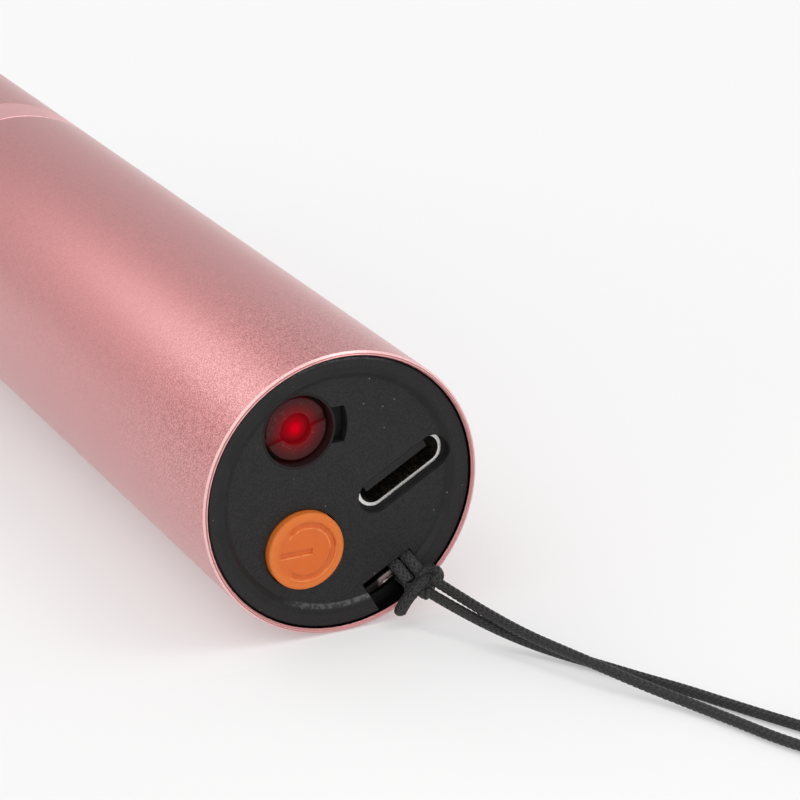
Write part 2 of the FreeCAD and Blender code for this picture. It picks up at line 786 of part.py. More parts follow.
def make_switch():
    at = (d.button_across, switch_up)
    base = new_body("tact_base", *at)
    block_face = face_sketch(base, "face", base_front)
    rectangle(block_face, d.switch_width, d.switch_height)
    pad(base, "block", block_face, d.switch_depth)
    cavity = face_sketch(base, "cavity", base_front)
    circle(cavity, d.plunger_foot_radius + d.plunger_clearance)
    pocket(base, "cavity_cut", cavity, d.plunger_foot + d.button_travel)

    cover = new_body("tact_cover", *at)
    plate = face_sketch(cover, "plate", cover_front)
    rectangle(plate, d.switch_width + d.cover_thickness * 2, d.switch_height)
    circle(plate, d.plunger_radius + d.plunger_clearance)
    pad(cover, "plate_pad", plate, d.cover_thickness)
    arms = face_sketch(cover, "arms", cover_front)
    for side in (-1, 1):
        middle = (d.switch_width + d.cover_thickness) / 2 * side
        rectangle(arms, d.cover_thickness, d.switch_height, middle)
    pad(cover, "arms_pad", arms, d.cover_arm)

    foot_front = base_front + d.plunger_foot_gap
    foot_back = base_front + d.plunger_foot
    turned("tact_plunger", [
        (0, plunger_tip), (d.plunger_radius, plunger_tip), (d.plunger_radius, foot_front),
        (d.plunger_foot_radius, foot_front), (d.plunger_foot_radius, foot_back), (0, foot_back),
    ], *at)


def make_charging_port():
    at = (d.port_across, d.port_up)
    shell = new_body("usb_shell", *at)
    face = face_sketch(shell, "face", shell_front)
    stadium(face, d.shell_width, d.shell_height)
    stadium(face, shell_inner_width, shell_inner_height)
    pad(shell, "tube", face, d.shell_length)

    tongue = new_body("usb_tongue", *at)
    blade = face_sketch(tongue, "blade", tongue_front)
    rectangle(blade, shell_inner_width - d.tongue_side_gap * 2, d.tongue_thickness)
    pad(tongue, "blade_pad", blade, d.tongue_length + d.tongue_overlap)
    root = face_sketch(tongue, "root", tongue_back)
    stadium(root, shell_inner_width - d.sleeve_gap * 2, shell_inner_height - d.sleeve_gap * 2)
    pad(tongue, "root_pad", root, shell_back - tongue_back)

    pads = []
    for side in (-1, 1):
        face_up = d.port_up + d.tongue_thickness / 2 * side
        under = face_up if side > 0 else face_up - d.pad_thickness
        for index in range(PORT_CONTACTS):
            across = d.port_across + d.pad_pitch * (index - (PORT_CONTACTS - 1) / 2)
            pads.append(block("contact_%d_%d" % (side + 1, index), across, tongue_front + d.pad_setback,
                              under, d.pad_width, d.pad_length, d.pad_thickness))
    group("usb_contacts", pads)


def make_carrier():
    body = turned("inner_carrier", [
        (0, plate_back), (carrier_radius, plate_back), (carrier_radius, carrier_end), (0, carrier_end),
    ])
    inside = carrier_end - d.rear_ring - carrier_back
    wide = tube_radius
    above = face_sketch(body, "above", carrier_back)
    polygon(above, [(-wide, d.rail_high), (wide, d.rail_high), (wide, wide), (-wide, wide)])
    pocket(body, "above_cut", above, inside)
    below = face_sketch(body, "below", carrier_back)
    polygon(below, [(-wide, -wide), (wide, -wide), (wide, d.rail_low), (-wide, d.rail_low)])
    pocket(body, "below_cut", below, inside)
    low = d.rail_low - d.edge_break
    high = d.rail_high + d.edge_break
    rail = rail_start
    front_part = face_sketch(body, "front_part", carrier_back)
    polygon(front_part, [(-rail, low), (rail, low), (rail, high), (-rail, high)])
    pocket(body, "front_part_cut", front_part, bridge_front - carrier_back)
    middle_part = face_sketch(body, "middle_part", bridge_front)
    under_bridge = d.rail_high - d.bridge_thickness
    polygon(middle_part, [(-rail, low), (rail, low), (rail, under_bridge), (-rail, under_bridge)])
    pocket(body, "middle_part_cut", middle_part, d.bridge_length)
    rear_start = bridge_front + d.bridge_length
    rear_part = face_sketch(body, "rear_part", rear_start)
    polygon(rear_part, [(-rail, low), (rail, low), (rail, high), (-rail, high)])
    pocket(body, "rear_part_cut", rear_part, carrier_back + inside - rear_start)
    ring = face_sketch(body, "ring", carrier_end - d.rear_ring)
    circle(ring, d.rear_ring_bore)
    pocket(body, "ring_cut", ring, d.rear_ring)
    groove = face_sketch(body, "groove", carrier_back)
    groove_height = d.board_thickness + d.board_gap * 2
    rectangle(groove, (board_half + d.board_gap) * 2, groove_height, 0, (board_under + board_top) / 2)
    pocket(body, "groove_cut", groove, inside)

    cradle_front = plate_back + d.cradle_start
    cradle = face_sketch(body, "cradle", cradle_front, d.laser_across, laser_up)
    circle(cradle, d.module_radius + d.cradle_wall)
    pad(body, "cradle_pad", cradle, d.cradle_length)
    post_plane = sketch_on(body, "XY_Plane", "posts", (0, 0, board_top + d.board_gap))
    for side in (-1, 1):
        circle(post_plane, d.post_radius, d.screw_across * side, screw_depth)
    pad(body, "posts_pad", post_plane, under_bridge - board_top + d.bridge_thickness / 2, False)
    screw_holes = sketch_on(body, "XY_Plane", "screw_holes", (0, 0, board_under))
    for side in (-1, 1):
        circle(screw_holes, d.screw_radius + d.sleeve_gap, d.screw_across * side, screw_depth)
    pocket(body, "screw_cut", screw_holes, d.screw_length + d.screw_slot, True)

    bore = face_sketch(body, "bore", plate_back, d.laser_across, laser_up)
    circle(bore, d.module_radius + d.lens_gap)
    pocket(body, "bore_cut", bore, d.cradle_start + d.cradle_length)
    gap = d.carrier_hole_gap * 2
    port = face_sketch(body, "port", plate_back, d.port_across, d.port_up)
    stadium(port, d.shell_width + gap, d.shell_height + gap)
    pocket(body, "port_cut", port, shell_back - plate_back + gap)
    button = face_sketch(body, "button", plate_back, d.button_across, d.button_up)
    circle(button, flange_radius + gap)
    pocket(body, "button_cut", button, d.carrier_face)
    notch = face_sketch(body, "notch", plate_back)
    notch_half = d.notch_width / 2
    polygon(notch, [
        (-notch_half, notch_up), (-notch_half, -wide), (notch_half, -wide), (notch_half, notch_up),
    ])
    pocket(body, "notch_cut", notch, d.notch_depth - plate_back)


def make_circuit_board():
    board = new_body("circuit_board")
    face = sketch_on(board, "XY_Plane", "face", (0, 0, board_under))
    polygon(face, [(-board_half, board_start), (board_half, board_start),
                   (board_half, board_end), (-board_half, board_end)])
    for side in (-1, 1):
        circle(face, d.screw_radius + d.sleeve_gap, d.screw_across * side, screw_depth)
    pad(board, "slab", face, d.board_thickness, False)

    screws = []
    for side in (-1, 1):
        across = d.screw_across * side
        head_under = board_under - d.screw_head
        name = "screw_%d" % (side + 1)
        shank = primitive("Cylinder", name + "_shank",
                          {"Radius": d.screw_radius, "Height": d.screw_length + d.screw_head},
                          (across, screw_depth, head_under))
        head = primitive("Cylinder", name + "_head",
                         {"Radius": d.screw_head_radius, "Height": d.screw_head},
                         (across, screw_depth, head_under))
        whole = doc.addObject("Part::Fuse", name + "_whole")
        whole.Base = head
        whole.Tool = shank
        slot = block(name + "_slot", across, screw_depth - d.screw_head_radius - d.screw_slot,
                     head_under - d.screw_slot / 2, d.screw_slot,
                     (d.screw_head_radius + d.screw_slot) * 2, d.screw_slot)
        screw = doc.addObject("Part::Cut", name)
        screw.Base = whole
        screw.Tool = slot
        screws.append(screw)
    group("board_screws", screws)

    make_chip("charge_chip", d.charge_chip_across, d.charge_chip_setback, d.charge_chip_length,
              CHARGE_CHIP_LEGS)
    make_chip("control_chip", d.control_chip_across, d.control_chip_setback, d.control_chip_length,
              CONTROL_CHIP_LEGS)

    inductor_start = board_end - d.inductor_setback
    foot = block("inductor_foot", d.charge_chip_across, inductor_start, board_top,
                 d.inductor_side, d.inductor_side, d.inductor_foot)
    drum = primitive("Cylinder", "inductor_drum",
                     {"Radius": d.inductor_drum_radius, "Height": d.inductor_height},
                     (d.charge_chip_across, inductor_start + d.inductor_side / 2, board_top))
    group("boost_inductor", [foot, drum], "MultiFuse")

    capacitors = [
        block("capacitor_%d" % index, d.capacitor_across + d.capacitor_pitch * index,
              board_end - d.capacitor_setback, board_top,
              d.capacitor_side, d.capacitor_length, d.capacitor_side)
        for index in range(CAPACITORS)
    ]
    group("capacitors", capacitors)

    pins = [
        block("link_pin_%d" % index, d.pin_pitch * (index - (LINK_PINS - 1) / 2),
              carrier_end - d.pin_length, board_top, d.pin_side, d.pin_length, d.pin_side)
        for index in range(LINK_PINS)
    ]
    group("link_pins", pins)


def make_chip(label, across, setback, length, legs):
    """A moulded chip on the board's upper side with a row of legs on each side."""
    lift = d.chip_leg_thickness / 2
    start = board_end - setback
    members = [block(label + "_case", across, start, board_top + lift, d.chip_width, length, d.chip_height)]
    pitch = length / legs
    for side in (-1, 1):
        middle = across + (d.chip_width + d.chip_leg_reach) / 2 * side
        for index in range(legs):
            leg_start = start + pitch * (index + 0.5) - d.chip_leg / 2
            members.append(block("%s_leg_%d_%d" % (label, side + 1, index), middle, leg_start, board_top,
                                 d.chip_leg_reach, d.chip_leg, d.chip_leg_thickness))
    group(label, members, "MultiFuse")


def make_battery():
    radius = tube_bore - d.contact_board_gap
    turned("contact_board",
           [(0, carrier_end), (radius, carrier_end), (radius, contact_board_back), (0, contact_board_back)])
    step = contact_board_back + d.contact_height / 2
    turned("positive_contact", [
        (0, contact_board_back), (d.contact_radius, contact_board_back), (d.contact_radius, step),
        (d.contact_tip_radius, step), (d.contact_tip_radius, cell_start), (0, cell_start),
    ])
    clip = new_body("ground_clip")
    side = sketch_on(clip, "YZ_Plane", "side", (0, 0, -d.clip_width / 2))
    top = tube_bore - d.clip_gap
    low = top - d.clip_foot
    thick = d.clip_thickness
    polygon(side, [
        (contact_board_back, low), (contact_board_back + thick, low),
        (contact_board_back + thick, top - thick), (contact_board_back + d.clip_leaf, top - thick),
        (contact_board_back + d.clip_leaf, top), (contact_board_back, top),
    ])
    pad(clip, "leaf", side, d.clip_width, False)

    lip_radius = can_radius - d.crimp_width
    seat = can_start + d.crimp_depth
    turned("battery_can", [
        (0, seat), (lip_radius, seat), (lip_radius, can_start), (can_radius, can_start),
        (can_radius, cell_end), (0, cell_end),
    ])
    wrap_start = can_start - d.wrap_thickness
    turned("battery_wrap", [
        (can_radius - d.wrap_lip, wrap_start), (d.cell_radius, wrap_start), (d.cell_radius, cell_end),
        (can_radius, cell_end), (can_radius, can_start), (can_radius - d.wrap_lip, can_start),
    ])
    flange_start = seat - d.cap_flange
    turned("battery_cap", [
        (0, cell_start), (d.cap_radius, cell_start), (d.cap_radius, flange_start),
        (d.cap_flange_radius, flange_start), (d.cap_flange_radius, seat), (0, seat),
    ])
    turned("battery_gasket", tube_outline(d.cap_flange_radius + d.wrap_thickness,
                                          lip_radius - d.wrap_thickness, flange_start, seat))
    turned("battery_sleeve", tube_outline(d.cell_radius + d.spacer_gap, tube_bore - d.spacer_gap,
                                          cell_start + d.spacer_setback, neck_start - d.spacer_gap))


def make_tail():
    seal_end = seal_start + d.seal_section + d.seal_side_gap * 2
    seal_outer = tail_neck_bore - d.seal_squeeze
    groove = seal_outer - d.seal_section
    press = tube_bore - d.neck_press_gap
    neck_bore = neck_radius - d.neck_wall
    thread_start = tail_front + d.thread_setback
    root = neck_radius - d.thread_height
    outline = [(neck_bore, neck_start), (press, neck_start), (press, d.tube_length),
               (neck_radius, d.tube_length), (neck_radius, seal_start), (groove, seal_start),
               (groove, seal_end), (neck_radius, seal_end), (neck_radius, thread_start)]
    for index in range(THREAD_RIDGES):
        start = thread_start + d.thread_pitch * index
        outline += [
            (root, start + d.thread_height), (root, start + d.thread_pitch - d.thread_height * 2),
            (neck_radius, start + d.thread_pitch - d.thread_height),
            (neck_radius, start + d.thread_pitch),
        ]
    outline += [
        (neck_radius, neck_end - d.neck_chamfer), (neck_radius - d.neck_chamfer, neck_end),
        (neck_bore, neck_end),
    ]
    turned("threaded_neck", outline)

    seal = doc.addObject("Part::Torus", "tail_oring")
    set_size(seal, "Radius1", seal_outer - d.seal_section / 2)
    set_size(seal, "Radius2", d.seal_section / 2)
    place_round(seal, (seal_start + seal_end) / 2)

    edge = d.edge_break
    ring_bore = neck_radius + d.ring_gap
    turned("trim_ring", [
        (ring_bore, ring_front), (tube_radius - edge, ring_front), (tube_radius, ring_front + edge),
        (tube_radius, ring_back - edge), (tube_radius - edge, ring_back), (ring_bore, ring_back),
    ])
    step = neck_end + d.tail_step_gap
    turned("tail_cap", [
        (tail_neck_bore, tail_front), (tube_radius - edge, tail_front),
        (tube_radius, tail_front + edge), (tube_radius, total_length - d.tail_chamfer),
        (tube_radius - d.tail_chamfer, total_length), (0, total_length), (0, tail_inside),
        (tail_bore, tail_inside), (tail_bore, step), (tail_neck_bore, step),
    ])
    plate_front = tail_inside - d.tail_contact_thickness
    plate_edge = tail_bore - d.tail_contact_gap
    turned("tail_contact_plate",
           [(0, plate_front), (plate_edge, plate_front), (plate_edge, tail_inside), (0, tail_inside)])


def place_round(thing, depth):
    """Put a ring that lies square to its own third axis round the tube's axis."""
    thing.Placement = FreeCAD.Placement(Vector(0, 0, 0), TOWARDS_TAIL)
    set_size(thing, "Placement.Base.y", as_size(depth) - total_length / 2)
    set_size(thing, "Placement.Base.z", tube_radius)


def make_lanyard_bar():
    bar = primitive("Cylinder", "lanyard_pin",
                    {"Radius": d.bar_radius, "Height": d.notch_width + d.bar_seat * 2}, (0, 0, 0))
    along = FreeCAD.Rotation(Vector(0, 1, 0), 90 - SIZES["inside_turn"])
    lean_cos, lean_sin = cosine(d.inside_turn), sine(d.inside_turn)
    half = -(d.notch_width / 2 + d.bar_seat)
    bar.Placement = FreeCAD.Placement(Vector(0, 0, 0), along)
    set_size(bar, "Placement.Base.x", half * lean_cos - bar_up * lean_sin)
    set_size(bar, "Placement.Base.y", d.bar_depth - total_length / 2)
    set_size(bar, "Placement.Base.z", tube_radius + half * lean_sin + bar_up * lean_cos)
    set_size(bar, "Placement.Rotation.Angle", as_size(90) - d.inside_turn)


# Round tubes along straight runs and arcs, for the leads, the springs and the wrist cord.
def rounded_route(points, share=CORD_SHARE):
    """Straight runs joined by tangent arcs, each as large as its two runs allow."""
    points = [Vector(*point) for point in points]
    edges = []
    radii = []
    last = points[0]
    for before, corner, after in zip(points, points[1:], points[2:]):
        back = (before - corner)
        ahead = (after - corner)
        cut = share * min(back.Length, ahead.Length)
        back.normalize()
        ahead.normalize()
        half_turn = (math.pi - back.getAngle(ahead)) / 2
        radius = cut / math.tan(half_turn)
        start = corner + back * cut
        end = corner + ahead * cut
        inward = (back + ahead).normalize()
        middle = corner + inward * (radius / math.cos(half_turn) - radius)
        edges.append(Part.LineSegment(last, start).toShape())
        edges.append(Part.Arc(start, middle, end).toShape())
        radii.append(radius)
        last = end
    edges.append(Part.LineSegment(last, points[-1]).toShape())
    return Part.Wire(edges), radii


def arc_from(start, corner, end):
    """The arc from start to end whose tangents meet at the corner."""
    half_turn = (corner - start).getAngle(end - corner) / 2
    if half_turn < 1e-5:
        return Part.LineSegment(start, end).toShape()
    chord_middle = (start + end) * 0.5
    share = math.cos(half_turn) / (1 + math.cos(half_turn))
    return Part.Arc(start, chord_middle + (corner - chord_middle) * share, end).toShape()


def biarcs(stations):
    """Pairs of tangent arcs through stations, each a point with its direction of travel."""
    edges = []
    for (start, leave), (end, arrive) in zip(stations, stations[1:]):
        span = end - start
        both = leave + arrive
        bend = 2 * (leave.dot(arrive) - 1)
        push = -2 * span.dot(both)
        size = span.dot(span)
        if abs(bend) < 1e-9:
            reach = -size / push
        else:
            reach = (-push - math.sqrt(push * push - 4 * bend * size)) / (2 * bend)
            if reach < 0:
                reach = (-push + math.sqrt(push * push - 4 * bend * size)) / (2 * bend)
        first = start + leave * reach
        second = end - arrive * reach
        middle = (first + second) * 0.5
        edges.append(arc_from(start, first, middle))
        edges.append(arc_from(middle, second, end))
    return edges


def tube_along(wire, radius):
    """A round tube along a wire."""
    first = wire.OrderedEdges[0]
    direction = first.tangentAt(first.FirstParameter)
    ring = Part.Wire(Part.Circle(first.valueAt(first.FirstParameter), direction, radius).toShape())
    return wire.makePipeShell([ring], True, False)


def helix_stations(radius_at, depth_at, turns):
    """Quarter turns of a winding about the depth axis, with the direction at each."""
    count = int(round(turns * 4))
    stations = []
    for index in range(count + 1):
        turn = index / 4
        angle = 2 * math.pi * turn

        def point(at):
            bend = 2 * math.pi * at
            return Vector(radius_at(at) * math.cos(bend), depth_at(at), radius_at(at) * math.sin(bend))

        nudge = 1e-4
        direction = (point(turn + nudge) - point(turn - nudge)).normalize()
        stations.append((point(turn), direction))
    return stations


def wound(label, stations, radius, across=0, up=0):
    """A coil spring, with a straight of one wire diameter at each end."""
    start, leave = stations[0]
    end, arrive = stations[-1]
    edges = [Part.LineSegment(start - leave * radius * 2, start).toShape()]
    edges += biarcs(stations)
    edges.append(Part.LineSegment(end, end + arrive * radius * 2).toShape())
    wire = Part.Wire(edges)
    spring = doc.addObject("Part::Feature", label)
    spring.Shape = tube_along(wire, radius)
    place(spring, across, up)
    report_tube(label, wire, spring.Shape, radius)


def report_tube(label, wire, shape, radius):
    """Print a tube's volume against its section times its length."""
    expected = math.pi * radius ** 2 * wire.Length
    share = shape.Volume / expected
    print("%s: length %.2f, volume %.4f of section times length" % (label, wire.Length, share))


def make_springs():
    wire = d.focus_wire.number
    mean = lens_radius.number - d.focus_spring_inset.number
    start = lens_back.number + wire
    end = web_front.number - wire
    rise = (end - start) / FOCUS_TURNS
    stations = helix_stations(lambda at: mean, lambda at: start + rise * at, FOCUS_TURNS)
    wound("laser_spring", stations, wire / 2, d.laser_across, laser_up)

    wire = d.tail_wire.number
    base, tip = d.tail_spring_base.number, d.tail_spring_tip.number
    start = cell_end.number + d.tail_spring_gap.number + wire / 2
    end = tail_inside.number - d.tail_contact_thickness.number - wire / 2
    rise = (end - start) / TAIL_TURNS
    widen = (base - tip) / TAIL_TURNS
    stations = helix_stations(lambda at: tip + widen * at, lambda at: start + rise * at, TAIL_TURNS)
    wound("tail_spring", stations, wire / 2)


def make_leads():
    """Two leads from the module's driver board, square down onto the circuit board."""
    radius = d.lead_radius.number
    start = module_end.number
    level = laser_up.number - d.lead_drop.number
    run = level - board_top.number
    solids = []
    for side in (-1, 1):
        across = d.laser_across.number + side * d.lead_spread.number
        points = [(across, start, level), (across, start + run, level),
                  (across, start + run, board_top.number)]
        wire, radii = rounded_route(points)
        solids.append(tube_along(wire, radius))
        report_tube("laser_lead", wire, solids[-1], radius)
    leads = doc.addObject("Part::Feature", "laser_leads")
    leads.Shape = Part.makeCompound(solids)
    place(leads)


def coil_route():
    """The put-away loop: strand b winds in below, folds in an S, and strand a winds out on top."""
    outer, inner = d.coil_outer.number, d.coil_inner.number
    low = d.cord_lift.number
    high = low + d.coil_layer.number
    centre = Vector(COIL_CENTRE[0], COIL_CENTRE[1], 0)
    turn_back = COIL_ENTRY + 360 * COIL_TURNS_DOWN
    turns_up = (turn_back + 180 - COIL_EXIT) / 360
    turns_up -= math.floor(turns_up - 2)

    def winding(start_angle, turns, way, start_radius, end_radius, level):
        count = int(math.ceil(turns * 4))
        found = []
        for index in range(count + 1):
            share = index / count
            radius = start_radius + (end_radius - start_radius) * share
            angle = math.radians(start_angle + way * 360 * turns * share)
            outward = Vector(math.cos(angle), math.sin(angle), 0)
            along = Vector(-outward.y, outward.x, 0) * way
            rate = (end_radius - start_radius) / (2 * math.pi * turns)
            direction = (along * radius + outward * rate).normalize()
            found.append((centre + outward * radius + Vector(0, 0, level), direction))
        return found

    down = winding(COIL_ENTRY, COIL_TURNS_DOWN, 1, outer, inner, low)
    up = winding(turn_back + 180, turns_up, -1, inner, outer, high)
    fold = []
    angle = math.radians(turn_back)
    outward = Vector(math.cos(angle), math.sin(angle), 0)
    along = Vector(-outward.y, outward.x, 0)
    slope = (high - low) / (math.pi * inner)
    for middle, way, steps in ((0.5, 1, (1, 2)), (-0.5, -1, (1,))):
        for step in steps:
            swing = step * math.pi / 2
            spoke = outward * math.cos(swing) + along * math.sin(swing) * way
            spot = centre + outward * inner * middle + spoke * inner / 2
            course = along * math.cos(swing) * way - outward * math.sin(swing)
            climbed = (step if way > 0 else step + 2) / 4
            level = low + (high - low) * climbed
            fold.append((spot + Vector(0, 0, level), (course + Vector(0, 0, slope)).normalize()))
    return down + fold + up


def least_gap(wire, diameter):
    """The least gap between two stretches of one tube, measured on points of its centre line."""
    points = wire.discretize(Distance=0.25)
    apart = int(3 * diameter / 0.25)
    least = 1e9
    for index, point in enumerate(points):
        for other in points[index + apart:]:
            least = min(least, point.distanceToPoint(other))
    return least - diameter


def on_table(thing):
    """Put a piece whose points run from the foot of the rim plane into the part's frame."""
    thing.Placement = FreeCAD.Placement(Vector(0, 0, 0), FreeCAD.Rotation())
    set_size(thing, "Placement.Base.y", -total_length / 2)


def make_lanyard():
    diameter = d.cord_diameter.number
    radius = diameter / 2
    stations = coil_route()
    entry, leave = stations[0]
    exit_point, arrive = stations[-1]
    coil_start = entry - leave * diameter
    coil_end = exit_point + arrive * diameter
    edges = [Part.LineSegment(coil_start, entry).toShape()]
    edges += biarcs(stations)
    edges.append(Part.LineSegment(exit_point, coil_end).toShape())
    total = 0
    routes = [("lanyard_coil", Part.Wire(edges), [])]
    for label, points, end in (("lanyard_strand_a", STRAND_A, coil_end),
                               ("lanyard_strand_b", STRAND_B, coil_start)):
        wire, radii = rounded_route(points + [tuple(end)])
        routes.append((label, wire, radii))
    for label, wire, radii in routes:
        piece = doc.addObject("Part::Feature", label)
        piece.Shape = tube_along(wire, radius)
        on_table(piece)
        report_tube(label, wire, piece.Shape, radius)
        total += wire.Length
        if radii:
            print("%s radii: %s" % (label, " ".join("%.1f" % value for value in radii)))
        else:
            print("%s least gap to itself: %.2f" % (label, least_gap(wire, diameter)))
    strands = [wire.discretize(Distance=0.2) for label, wire, radii in routes[1:]]
    clear = min(a.distanceToPoint(b) for a in strands[0][12:] for b in strands[1][6:])
    print("least distance between the strands' centre lines: %.2f" % clear)
    print("cord length: %.1f" % total)

    wire, radii = rounded_route(CORD_END)
    tail = doc.addObject("Part::Feature", "lanyard_tail")
    tail.Shape = tube_along(wire, radius)
    on_table(tail)
    report_tube("lanyard_tail", wire, tail.Shape, radius)

    knot = doc.addObject("Part::Ellipsoid", "lanyard_knot")
    knot.Angle1 = -90
    knot.Angle2 = 90
    set_size(knot, "Radius1", d.knot_height)
    set_size(knot, "Radius2", d.knot_width)
    set_size(knot, "Radius3", d.knot_length)
    place(knot, d.knot_across, knot_up, -d.knot_front)
    make_hitch()


def make_hitch():
    """The turns of the cord round the bar, pressed flat between it and the notch."""
    thick = d.hitch_thickness.number
    reach = d.bar_radius.number + d.bar_gap.number + thick / 2
    bar = Vector(0, d.bar_depth.number, bar_up.number)
    meet = Vector(0, d.hitch_into_knot.number - d.knot_front.number, knot_up.number)
    solids = []
    for index in range(HITCH_TURNS):
        across = d.knot_across.number + d.hitch_pitch.number * (index - 1)
        middle = bar + Vector(across, 0, 0)
        wire = hitch_route(middle, meet + Vector(across, 0, 0), reach)
        section = Part.Ellipse(Vector(0, 0, 0), d.hitch_width.number / 2, thick / 2).toShape()
        first = wire.OrderedEdges[0]
        start = first.valueAt(first.FirstParameter)
        course = first.tangentAt(first.FirstParameter)
        turn = FreeCAD.Rotation(Vector(1, 0, 0), course.cross(Vector(1, 0, 0)), course, "ZXY")
        section.Placement = FreeCAD.Placement(start, turn)
        solids.append(wire.makePipeShell([Part.Wire(section)], True, False))
        expected = math.pi * thick * d.hitch_width.number / 4 * wire.Length
        print("lanyard_hitch: volume %.4f of section times length" % (solids[-1].Volume / expected))
    hitch = doc.addObject("Part::Feature", "lanyard_hitch")
    hitch.Shape = Part.makeCompound(solids)
    place(hitch)


def hitch_route(middle, meet, reach):
    """From the knot over the bar, behind it and back under it to the knot."""
    spread = d.hitch_spread.number
    edges = []
    tips = []
    for sign in (1, -1):
        start = meet + Vector(0, 0, spread * sign)
        line = start - middle
        span = math.hypot(line.y, line.z)
        heading = math.atan2(line.z, line.y)
        swing = math.acos(reach / span)
        angle = heading - swing * sign
        tips.append((start, middle + Vector(0, math.cos(angle), math.sin(angle)) * reach))
    behind = middle + (middle - (tips[0][1] + tips[1][1]) * 0.5).normalize() * reach
    edges.append(Part.LineSegment(tips[0][0], tips[0][1]).toShape())
    edges.append(Part.Arc(tips[0][1], behind, tips[1][1]).toShape())
    edges.append(Part.LineSegment(tips[1][1], tips[1][0]).toShape())
    return Part.Wire(edges)


NODES = [
    "body_tube", "front_plate", "laser_sleeve", "laser_lens_ring", "laser_lens", "laser_barrel",
    "laser_spring", "laser_diode", "laser_driver_board", "laser_leads", "power_button", "tact_base",
    "tact_cover", "tact_plunger", "usb_shell", "usb_tongue", "usb_contacts", "inner_carrier",
    "circuit_board", "board_screws", "charge_chip", "control_chip", "boost_inductor", "capacitors",
    "link_pins", "contact_board", "positive_contact", "ground_clip", "battery_can", "battery_wrap",
    "battery_cap", "battery_gasket", "battery_sleeve", "threaded_neck", "tail_oring", "trim_ring",
    "tail_cap", "tail_contact_plate", "tail_spring", "lanyard_pin", "lanyard_hitch", "lanyard_knot",
    "lanyard_tail", "lanyard_strand_a", "lanyard_strand_b", "lanyard_coil",
]

make_body_tube()
make_front_plate()
make_laser()
make_power_button()
make_switch()
make_charging_port()
make_carrier()
make_circuit_board()
make_battery()
make_tail()
make_lanyard_bar()
make_springs()
make_leads()
make_lanyard()
doc.recompute()

failed = [thing.Name for thing in doc.Objects if {"Invalid", "Error"} & set(thing.State)]
if failed:
    raise RuntimeError("not built: " + ", ".join(failed))
for feature, before in cuts:
    if feature.Shape.Volume > before.Shape.Volume - 1e-3:
        raise RuntimeError("cuts nothing: " + feature.Name)
os.makedirs("parts", exist_ok=True)
for name in NODES:
    piece = doc.getObjectsByLabel(name)[0]
    if piece.Shape.isNull() or not piece.Shape.isValid():
        raise RuntimeError("not a valid shape: " + name)
    piece.Shape.exportStep(os.path.join("parts", name + ".step"))
print("%d nodes written" % len(NODES))
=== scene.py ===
import json
import math

import bpy
import numpy as np
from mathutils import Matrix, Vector


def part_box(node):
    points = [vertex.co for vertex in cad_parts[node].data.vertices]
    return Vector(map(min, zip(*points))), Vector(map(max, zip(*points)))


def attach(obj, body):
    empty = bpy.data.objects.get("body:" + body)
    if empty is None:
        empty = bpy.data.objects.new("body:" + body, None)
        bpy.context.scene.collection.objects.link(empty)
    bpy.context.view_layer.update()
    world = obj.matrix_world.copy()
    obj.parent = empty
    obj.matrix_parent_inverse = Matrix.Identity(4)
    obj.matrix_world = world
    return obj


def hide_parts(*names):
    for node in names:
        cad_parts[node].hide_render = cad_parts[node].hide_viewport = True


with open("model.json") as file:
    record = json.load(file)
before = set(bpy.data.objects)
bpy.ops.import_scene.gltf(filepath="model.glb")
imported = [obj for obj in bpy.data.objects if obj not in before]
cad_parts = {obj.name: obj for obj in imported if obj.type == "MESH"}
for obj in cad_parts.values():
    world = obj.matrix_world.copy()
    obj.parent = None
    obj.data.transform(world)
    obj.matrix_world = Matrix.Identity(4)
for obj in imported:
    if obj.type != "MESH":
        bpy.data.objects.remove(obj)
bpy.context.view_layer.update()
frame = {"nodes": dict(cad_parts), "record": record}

nodes = frame["nodes"]

MM = 0.001

# Camera: the photograph's viewing angle, in millimetres and degrees of the part's frame
CAMERA_PLACE = (-100.78, -272.38, 112.92)
CAMERA_AZIMUTH = 206.57
CAMERA_ELEVATION = 21.2
CAMERA_LENS = 133.66
CAMERA_SENSOR = 36.0
CAMERA_NEAR = 5.0
CAMERA_FAR = 50000.0

# Barrel: what the cord and the finishes are placed by, in millimetres and degrees
RIM_PLANE = -60.0
TUBE_AXIS_HEIGHT = 13.0
INSIDE_TURN = 29.3

# Wrist cord, in millimetres. A point is across, back from the rim plane (minus: in front) and above the table
CORD_DIAMETER = 1.05
STRAND_DIAMETER = 0.96
STRAND_A = [
    (7.6, -1.9, 4.3), (8.5, -3.5, 3.72), (9.9, -6.9, 2.9), (11.6, -11.4, 2.22), (13.25, -15.3, 1.95),
    (15.0, -19.2, 1.65), (17.1, -23.0, 1.1), (19.3, -26.8, 0.65), (21.0, -31.0, 0.55),
    (22.5, -35.2, 0.55), (24.4, -38.7, 0.6), (26.8, -41.2, 0.95), (29.2, -42.79, 1.85),
]
STRAND_B = [
    (7.0, -2.2, 3.35), (8.1, -4.2, 2.7), (10.1, -7.7, 1.75), (12.3, -10.7, 0.95), (14.3, -13.6, 0.6),
    (16.3, -16.9, 0.55), (18.1, -20.3, 0.55), (20.1, -23.7, 0.55), (22.0, -27.6, 0.55),
    (24.2, -31.9, 0.55), (26.5, -36.1, 0.55),
]
SPLINE_STEPS = 12
# Points that are nearer to each other than this many metres are one point
SAME_PLACE = 1e-9

# Cut end: its points, how much wider than the cord it is, and the reach of its melted tip
CORD_END = [(6.6, -1.5, 3.75), (5.75, -1.55, 3.1), (5.1, -1.5, 2.3), (4.7, -1.5, 1.63)]
CORD_END_SPREAD = 1.12
CORD_TIP_REACH = (0.54, 0.54, 0.42)

